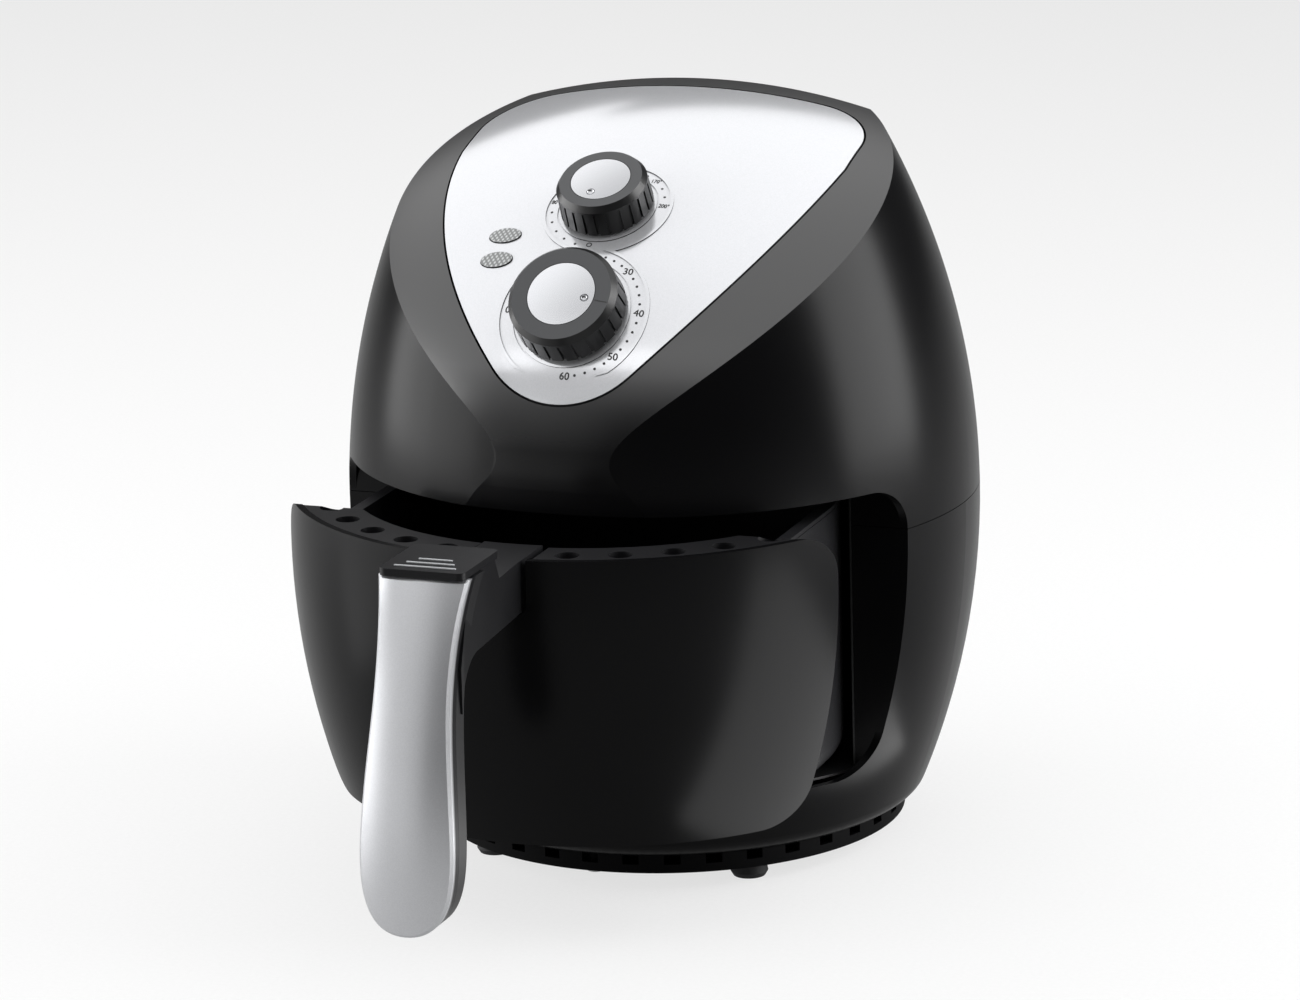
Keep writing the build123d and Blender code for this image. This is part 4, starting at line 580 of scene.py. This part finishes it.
def dial_frame(joint):
    """Place of a dial on the panel: X to the right, Z out along its axis."""
    axis = Vector(joint["axis"]).normalized()
    right = Vector((1, 0, 0))
    matrix = Matrix((right, axis.cross(right), axis)).transposed().to_4x4()
    matrix.translation = joint["pos_m"]
    return matrix


def drop_print(shape, matrix, surface, lift, depth):
    """Drops a flat shape along its Z on to a surface and gives it the thickness of a print."""
    down = -(matrix.to_3x3() @ Vector((0, 0, 1)))
    flat = bmesh.new()
    flat.from_mesh(shape)
    bmesh.ops.remove_doubles(flat, verts=flat.verts, dist=WELD)
    for vert in flat.verts:
        start = matrix @ vert.co - down * PRINT_REACH
        hit = surface.ray_cast(start, down, 2 * PRINT_REACH)[0]
        if hit is None:
            raise RuntimeError("print misses the surface under it")
        vert.co = hit - down * lift
    grown = bmesh.ops.extrude_face_region(flat, geom=flat.faces[:])["geom"]
    sunk = [item for item in grown if isinstance(item, bmesh.types.BMVert)]
    bmesh.ops.translate(flat, vec=down * (lift + depth), verts=sunk)
    bmesh.ops.recalc_face_normals(flat, faces=flat.faces[:])
    flat.to_mesh(shape)
    flat.free()


def thicken(mesh, weight):
    """Moves the outlines of a flat mesh outwards in its plane, as ink that spreads does."""
    flat = bmesh.new()
    flat.from_mesh(mesh)
    bmesh.ops.remove_doubles(flat, verts=flat.verts, dist=WELD)
    push = {vert: Vector() for vert in flat.verts}
    for edge in flat.edges:
        if edge.is_boundary:
            loop = edge.link_loops[0]
            along = loop.link_loop_next.vert.co - loop.vert.co
            out = along.cross(loop.face.normal).normalized()
            for vert in edge.verts:
                push[vert] += out
    for vert, out in push.items():
        vert.co += out.normalized() * weight
    flat.to_mesh(mesh)
    flat.free()


def figure(text, size, turn, radius, wide, weight):
    """An upright figure at a place on a dial's circle, as a flat mesh."""
    letters = bpy.data.curves.new("figure", "FONT")
    letters.body = text
    letters.size = size
    letters.align_x = "CENTER"
    letters.align_y = "CENTER"
    letters.resolution_u = FIGURE_STEPS
    mesh = plain_mesh(shown("figure", letters))
    mesh.transform(Matrix.Diagonal((wide, 1, 1, 1)))
    thicken(mesh, weight)
    mesh.transform(Matrix.Translation((radius * math.cos(turn), radius * math.sin(turn), 0)))
    return mesh


def new_tree(name, **sockets):
    """A Geometry Nodes tree with named inputs and a geometry output. Returns it with its inputs."""
    tree = bpy.data.node_groups.new(name, "GeometryNodeTree")
    for key, kind in sockets.items():
        tree.interface.new_socket(key.replace("_", " "), in_out="INPUT", socket_type=f"NodeSocket{kind}")
    tree.interface.new_socket("Geometry", in_out="OUTPUT", socket_type="NodeSocketGeometry")
    return tree, tree.nodes.new("NodeGroupInput").outputs


def close_tree(tree, geometry, made):
    """Makes a tree's instances real, gives them a finish and sends them to its output."""
    real = add(tree, "GeometryNodeRealizeInstances", {"Geometry": geometry}).outputs["Geometry"]
    coated = add(tree, "GeometryNodeSetMaterial", {"Geometry": real, "Material": made}).outputs["Geometry"]
    add(tree, "NodeGroupOutput", {"Geometry": coated})


def run_tree(tree, name, values):
    """Runs a Geometry Nodes tree with the given inputs and returns its plain mesh."""
    carrier = shown(name, bpy.data.meshes.new(name))
    modifier = carrier.modifiers.new(name, "NODES")
    modifier.node_group = tree
    for item in tree.interface.items_tree:
        if item.in_out == "INPUT":
            modifier[item.identifier] = values[item.name]
    return plain_mesh(carrier)


def scale_dot_tree():
    """Geometry Nodes: round dots along an arc, left out where a figure stands."""
    tree, given = new_tree("scale_dots", Arc_Radius="Float", First_Angle="Float", Step_Angle="Float",
                           Count="Int", Figure_Every="Int", Dot_Radius="Float", Dot_Sides="Int",
                           Ink="Material")
    index = add(tree, "GeometryNodeInputIndex").outputs["Index"]
    turns = {0: index, 1: given["Step Angle"], 2: given["First Angle"]}
    turn = add(tree, "ShaderNodeMath", turns, operation="MULTIPLY_ADD").outputs["Value"]
    across = add(tree, "ShaderNodeMath", {0: turn}, operation="COSINE").outputs["Value"]
    along = add(tree, "ShaderNodeMath", {0: turn}, operation="SINE").outputs["Value"]
    unit = add(tree, "ShaderNodeCombineXYZ", {"X": across, "Y": along}).outputs["Vector"]
    place = add(tree, "ShaderNodeVectorMath", {0: unit, "Scale": given["Arc Radius"]}, operation="SCALE")
    row = {"Count": given["Count"], "Position": place.outputs["Vector"]}
    points = add(tree, "GeometryNodePoints", row).outputs[0]
    # The rest of the division is a whole number, so less than a half is none.
    rest = add(tree, "ShaderNodeMath", {0: index, 1: given["Figure Every"]}, operation="MODULO")
    half = {"A": rest.outputs["Value"], "B": 0.5}
    taken = add(tree, "FunctionNodeCompare", half, data_type="FLOAT", operation="LESS_THAN")
    left_out = {"Geometry": points, "Selection": taken.outputs["Result"]}
    free = add(tree, "GeometryNodeDeleteGeometry", left_out, domain="POINT").outputs["Geometry"]
    disc = {"Vertices": given["Dot Sides"], "Radius": given["Dot Radius"]}
    dot = add(tree, "GeometryNodeMeshCircle", disc, fill_type="NGON").outputs["Mesh"]
    copies = add(tree, "GeometryNodeInstanceOnPoints", {"Points": free, "Instance": dot})
    close_tree(tree, copies.outputs["Instances"], given["Ink"])
    return tree


def coil_tree():
    """Geometry Nodes: round wire wound up a helix."""
    tree, given = new_tree("wire_coil", Coil_Radius="Float", Wire_Radius="Float", Turns="Float", Rise="Float",
                           Start="Vector", Steel="Material")
    helix = {"Resolution": COIL_STEPS, "Rotations": given["Turns"], "Start Radius": given["Coil Radius"],
             "End Radius": given["Coil Radius"], "Height": given["Rise"]}
    path = add(tree, "GeometryNodeCurveSpiral", helix).outputs["Curve"]
    circle = {"Resolution": WIRE_SIDES, "Radius": given["Wire Radius"]}
    ring = add(tree, "GeometryNodeCurvePrimitiveCircle", circle).outputs["Curve"]
    sweep = {"Curve": path, "Profile Curve": ring, "Fill Caps": True}
    wire = add(tree, "GeometryNodeCurveToMesh", sweep).outputs["Mesh"]
    placed = add(tree, "GeometryNodeTransform", {"Geometry": wire, "Translation": given["Start"]})
    close_tree(tree, placed.outputs["Geometry"], given["Steel"])
    return tree


class FRYER_OT_shells(bpy.types.Operator):
    """Gives the housing shells and the drawer front their gloss black"""
    bl_idname = "fryer.shells"
    bl_label = "Shells"

    def execute(self, context):
        look = context.scene.fryer_finish
        gloss = moulded_black("gloss_black_abs", look.shell, GLOSS_GRAIN, GLOSS_DEPTH, GLOSS_LOW, GLOSS_HIGH,
                              GLOSS_LEVEL)
        dress(gloss, "lower_housing", "drawer_front")
        dress(shell_black("graphite_faced_abs", look.shell, look.bezel), "upper_housing")
        return {"FINISHED"}


class FRYER_OT_trim(bpy.types.Operator):
    """Gives the trim, grille, base and feet their dull blacks"""
    bl_idname = "fryer.trim"
    bl_label = "Trim and base"

    def execute(self, context):
        look = context.scene.fryer_finish
        satin = moulded_black("satin_black_abs", look.trim, grain_mm=0.5, depth_mm=0.012, low=0.4, high=0.5,
                              level=0.2)
        dress(satin, "drawer_top_trim", "rear_grille", "drawer_rails", "interlock_switch", "cooling_fan")
        matt = moulded_black("matt_black_polypropylene", look.base, grain_mm=0.9, depth_mm=0.02, low=0.5,
                             high=0.6, level=0.05)
        dress(matt, "base_plate")
        rubber = plain_solid("moulded_rubber", linear("17171A"), grain_mm=0.8, low=0.6, high=0.75)
        dress(rubber, "rubber_feet", "cord_gland", "basket_bumpers")
        return {"FINISHED"}


class FRYER_OT_panel(bpy.types.Operator):
    """Gives the dial panel, its lenses and lamps their finishes"""
    bl_idname = "fryer.panel"
    bl_label = "Dial panel"

    def execute(self, context):
        look = context.scene.fryer_finish
        silver = silver_with_painted_wall_shade("sprayed_silver_panel", look.panel, low=0.13, high=0.18, metallic=0.6)
        dress(silver, "control_panel")
        dress(lattice_lens("lattice_polycarbonate", look.lens), "indicator_lenses")
        glass = plain_solid("neon_lamp_glass", linear("E8B98A"), grain_mm=1.5, low=0.05, high=0.12,
                            Transmission_Weight=0.7, IOR=1.5)
        dress(glass, "indicator_lamps")
        return {"FINISHED"}


class FRYER_OT_dials(bpy.types.Operator):
    """Gives the dials their finishes and the timer its pointer line"""
    bl_idname = "fryer.dials"
    bl_label = "Dials"

    def execute(self, context):
        look = context.scene.fryer_finish
        sizes = context.scene.fryer_print
        for dial in SCALES:
            joint = JOINTS[f"{dial}_turn"]
            dress(ringed_black(f"{dial}_knob_abs", look.knob, look.ring, joint), f"{dial}_knob")
            dress(spun_aluminium(f"{dial}_spun_aluminium", look.cap, joint), f"{dial}_cap")
        ink = plain_solid("pointer_ink", linear("050505"), grain_mm=0.5, low=0.4, high=0.5)
        half = sizes.pointer / 2
        line = rectangle("timer_pointer", POINTER_FROM, POINTER_TO, -half, half)
        turned = dial_frame(JOINTS["timer_turn"]) @ Matrix.Rotation(POINTER_ANGLE, 4, "Z")
        drop_print(line, turned, surface_of("timer_knob"), sizes.lift, sizes.thickness)
        piece = shown("timer_pointer", one_mesh("timer_pointer", [line], ink))
        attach(piece, "timer_dial")
        return {"FINISHED"}


class FRYER_OT_print(bpy.types.Operator):
    """Prints the minutes, the temperatures and their dots on the dial panel"""
    bl_idname = "fryer.print"
    bl_label = "Dial print"

    def execute(self, context):
        sizes = context.scene.fryer_print
        ink = plain_solid("screen_ink", context.scene.fryer_finish.ink, grain_mm=0.5, low=0.45, high=0.6)
        dots = scale_dot_tree()
        panel = surface_of("control_panel")
        for dial, scale in SCALES.items():
            name = f"{dial}_print"
            radius, size, wide = (getattr(sizes, f"{dial}_{part}") for part in ("radius", "size", "width"))
            figures, first, sweep, steps = (scale[part] for part in ("figures", "first", "sweep", "steps"))
            gaps = len(figures) - 1
            flat = [figure(text, size, first + sweep * i / gaps, radius, wide, sizes.weight)
                    for i, text in enumerate(figures)]
            rows = [(first, sweep / (gaps * steps), gaps * steps + 1, steps)]
            if dial == "temperature":
                flat.append(figure("O", size, OFF_ANGLE, radius - OFF_INSET, wide=1.0, weight=sizes.weight))
                apart = (first - 2 * math.pi - OFF_ANGLE) / (OFF_DOTS + 1)
                rows.append((OFF_ANGLE, apart, OFF_DOTS + 2, OFF_DOTS + 1))
            for start, turn, count, every in rows:
                flat.append(run_tree(dots, name, {
                    "Arc Radius": radius, "First Angle": start, "Step Angle": turn, "Count": count,
                    "Figure Every": every, "Dot Radius": sizes.dot, "Dot Sides": sizes.dot_sides, "Ink": ink,
                }))
            matrix = dial_frame(JOINTS[f"{dial}_turn"])
            for mesh in flat:
                drop_print(mesh, matrix, panel, sizes.lift, sizes.thickness)
            piece = shown(name, one_mesh(name, flat, ink))
            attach(piece, "housing")
        return {"FINISHED"}


class FRYER_OT_handle(bpy.types.Operator):
    """Gives the handle, its guard and its button their finishes"""
    bl_idname = "fryer.handle"
    bl_label = "Handle"

    def execute(self, context):
        look = context.scene.fryer_finish
        satin = moulded_black("handle_black_abs", look.trim, grain_mm=0.6, depth_mm=0.008, low=0.32, high=0.4,
                              level=0.3)
        dress(satin, "handle_body", "release_button")
        dress(ribbed_black("rib_printed_abs", look.trim, look.line_ink), "button_guard")
        silver = fading_silver("sprayed_silver_handle", look.handle, look.trim, low=0.26, high=0.32,
                               metallic=0.75)
        dress(silver, "handle_cover")
        return {"FINISHED"}


class FRYER_OT_drawer(bpy.types.Operator):
    """Gives the pan and basket their non-stick coating and the latch its plating"""
    bl_idname = "fryer.drawer"
    bl_label = "Pan and basket"

    def execute(self, context):
        coating = fired_coating("fired_nonstick", context.scene.fryer_finish.coating)
        dress(coating, "pan", "basket", "basket_grate")
        zinc = sheet_metal("zinc_plated_steel", linear("B4B5B5"), spangle_mm=1.4, low=0.28, high=0.4)
        dress(zinc, "handle_screws", "latch_catch", "latch_lever", "lever_pin", "base_screws")
        return {"FINISHED"}


class FRYER_OT_spring(bpy.types.Operator):
    """Winds the button's spring as a coil of wire that rides with the drawer"""
    bl_idname = "fryer.spring"
    bl_label = "Button spring"

    def execute(self, context):
        low, high = (Vector(corner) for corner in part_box("button_spring"))
        start = Vector(((low.x + high.x) / 2, (low.y + high.y) / 2, low.z + WIRE_RADIUS))
        height = high.z - low.z
        steel = sheet_metal("drawn_spring_steel", linear("A9AAAB"), spangle_mm=0.6, low=0.24, high=0.34)
        coil = run_tree(coil_tree(), "button_coil", {
            "Coil Radius": (high.x - low.x) / 2 - WIRE_RADIUS, "Wire Radius": WIRE_RADIUS,
            "Turns": COIL_TURNS, "Rise": height - 2 * WIRE_RADIUS, "Start": start, "Steel": steel,
        })
        piece = shown("button_coil", one_mesh("button_coil", [coil], steel))
        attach(piece, "drawer")
        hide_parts("button_spring")
        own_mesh(piece)
        return {"FINISHED"}


class FRYER_OT_inside(bpy.types.Operator):
    """Gives the chamber, heater, fans and electrical pieces their finishes"""
    bl_idname = "fryer.inside"
    bl_label = "Inside"

    def execute(self, context):
        finishes = (
            (plain_solid, "black_enamel", "161617", 3.0, 0.3, 0.4, ("chamber_liner",)),
            (sheet_metal, "aluminised_sheet", "C4C5C6", 5.0, 0.24, 0.36,
             ("heat_reflector", "air_duct", "timer_unit")),
            (sheet_metal, "oxidised_heater_sheath", "5A534E", 2.5, 0.4, 0.55, ("heating_element",)),
            (sheet_metal, "bright_steel", "B8B8B7", 1.2, 0.22, 0.34,
             ("heater_brackets", "heater_guard", "fan_motor", "motor_bracket", "motor_shaft", "timer_shaft",
              "thermostat_shaft")),
            (sheet_metal, "cast_fan_alloy", "BDBEC0", 0.8, 0.4, 0.55, ("hot_air_fan",)),
            (sheet_metal, "turned_brass", "C9A45A", 1.0, 0.22, 0.32, ("fan_nut",)),
            (plain_solid, "white_thermoset", "DAD8D0", 0.9, 0.35, 0.5,
             ("thermostat_unit", "terminal_block", "thermal_fuse")),
        )
        for make, name, code, grain_mm, low, high, nodes in finishes:
            dress(make(name, linear(code), grain_mm, low, high), *nodes)
        return {"FINISHED"}


def place_camera(scene, studio):
    """Sets the camera at its angles and distance from a point over the origin."""
    around, up, roll = studio.azimuth, studio.elevation, studio.roll
    back = Vector((math.sin(around) * math.cos(up), -math.cos(around) * math.cos(up), math.sin(up)))
    right = Vector((math.cos(around), math.sin(around), 0))
    over = back.cross(right)
    turned = right * math.cos(roll) + over * math.sin(roll)
    raised = over * math.cos(roll) - right * math.sin(roll)
    lens = bpy.data.cameras.new("camera")
    lens.sensor_width = SENSOR_WIDTH
    lens.lens = studio.focal
    lens.shift_x = studio.shift
    lens.clip_end = CLIP_END
    camera = shown("camera", lens)
    matrix = Matrix((turned, raised, back)).transposed().to_4x4()
    matrix.translation = Vector((0, 0, studio.target)) + back * studio.distance
    camera.matrix_world = matrix
    scene.camera = camera


def lay_floor(studio):
    """Lays pale paper that glows where it is seen, so that its glow doesn't light the part."""
    sheet = rectangle("floor", -FLOOR_HALF, FLOOR_HALF, -FLOOR_HALF, FLOOR_HALF)
    floor = shown("floor", sheet)
    paper = plain_solid("studio_paper", studio.floor, grain_mm=2.0, low=0.75, high=0.9,
                        Specular_IOR_Level=0.1)
    tree = paper.node_tree
    ray = add(tree, "ShaderNodeLightPath").outputs
    direct = {0: ray["Is Glossy Ray"], 1: studio.mirrored, 2: ray["Is Camera Ray"]}
    seen = {0: add(tree, "ShaderNodeMath", direct, operation="MULTIPLY_ADD").outputs["Value"],
            1: ray["Is Transmission Ray"]}
    lit = {0: add(tree, "ShaderNodeMath", seen, operation="ADD").outputs["Value"], 1: studio.glow}
    glow = add(tree, "ShaderNodeMath", lit, operation="MULTIPLY")
    shader = tree.nodes["Principled BSDF"]
    shader.inputs["Emission Color"].default_value = (1, 1, 1, 1)
    tree.links.new(glow.outputs["Value"], shader.inputs["Emission Strength"])
    sheet.materials.append(paper)


def softbox(name, centre, aim, wide, high, radiance):
    """A flat lamp of a given radiance that faces a point and doesn't show in the picture."""
    lamp = bpy.data.lights.new(name, "AREA")
    lamp.shape = "RECTANGLE"
    lamp.size = wide
    lamp.size_y = high
    lamp.energy = math.pi * wide * high * radiance
    made = shown(name, lamp)
    made.location = centre
    made.rotation_euler = (Vector(aim) - Vector(centre)).to_track_quat("-Z", "Y").to_euler()
    made.visible_camera = False
    return made


def light_room(scene, studio):
    """Hangs the softboxes, lays the low cards and gives the room a faint light of its own."""
    for name, centre, aim, wide, high, setting, share in SOFTBOXES:
        softbox(name, centre, aim, wide, high, share * getattr(studio, setting))
    for across, along, wide, deep, turn, share in LOW_CARDS:
        centre, above = (across, along, CARD_HEIGHT), (across, along, 1)
        card = softbox("low_card", centre, above, wide, deep, share * studio.card)
        card.rotation_euler = (math.pi, 0, turn)
        card.visible_diffuse = False
    room = bpy.data.worlds.new("room")
    room.use_nodes = True
    background = room.node_tree.nodes["Background"]
    background.inputs["Color"].default_value = (1, 1, 1, 1)
    background.inputs["Strength"].default_value = studio.ambient
    scene.world = room


class FRYER_OT_stage(bpy.types.Operator):
    """Sets up the camera, the pale floor and the softboxes"""
    bl_idname = "fryer.stage"
    bl_label = "Studio"

    def execute(self, context):
        scene = context.scene
        scene.view_settings.view_transform = "Standard"
        place_camera(scene, scene.fryer_stage)
        lay_floor(scene.fryer_stage)
        light_room(scene, scene.fryer_stage)
        return {"FINISHED"}


SETTINGS = (("fryer_finish", FinishSettings), ("fryer_print", PrintSettings), ("fryer_stage", StageSettings))
STEPS = (FRYER_OT_stage, FRYER_OT_shells, FRYER_OT_trim, FRYER_OT_panel, FRYER_OT_dials, FRYER_OT_print,
         FRYER_OT_handle, FRYER_OT_drawer, FRYER_OT_spring, FRYER_OT_inside)


class FRYER_PT_sidebar(bpy.types.Panel):
    """Lists the steps that dress the air fryer, and their settings"""
    bl_idname = "FRYER_PT_sidebar"
    bl_label = "Air Fryer"
    bl_space_type = "VIEW_3D"
    bl_region_type = "UI"
    bl_category = "Air Fryer"

    def draw(self, context):
        for step in STEPS:
            self.layout.operator(step.bl_idname)
        for name, group in SETTINGS:
            for key in group.__annotations__:
                self.layout.prop(getattr(context.scene, name), key)


def register():
    """Makes the settings, steps and panel known to Blender."""
    for name, group in SETTINGS:
        bpy.utils.register_class(group)
        setattr(bpy.types.Scene, name, PointerProperty(type=group))
    for item in (*STEPS, FRYER_PT_sidebar):
        bpy.utils.register_class(item)


def unregister():
    """Takes the settings, steps and panel out again."""
    for item in reversed((*STEPS, FRYER_PT_sidebar)):
        bpy.utils.unregister_class(item)
    for name, group in reversed(SETTINGS):
        delattr(bpy.types.Scene, name)
        bpy.utils.unregister_class(group)


def main():
    """Runs every step in order."""
    register()
    for step in STEPS:
        group, call = step.bl_idname.split(".")
        getattr(getattr(bpy.ops, group), call)()


if __name__ == "__main__":
    main()
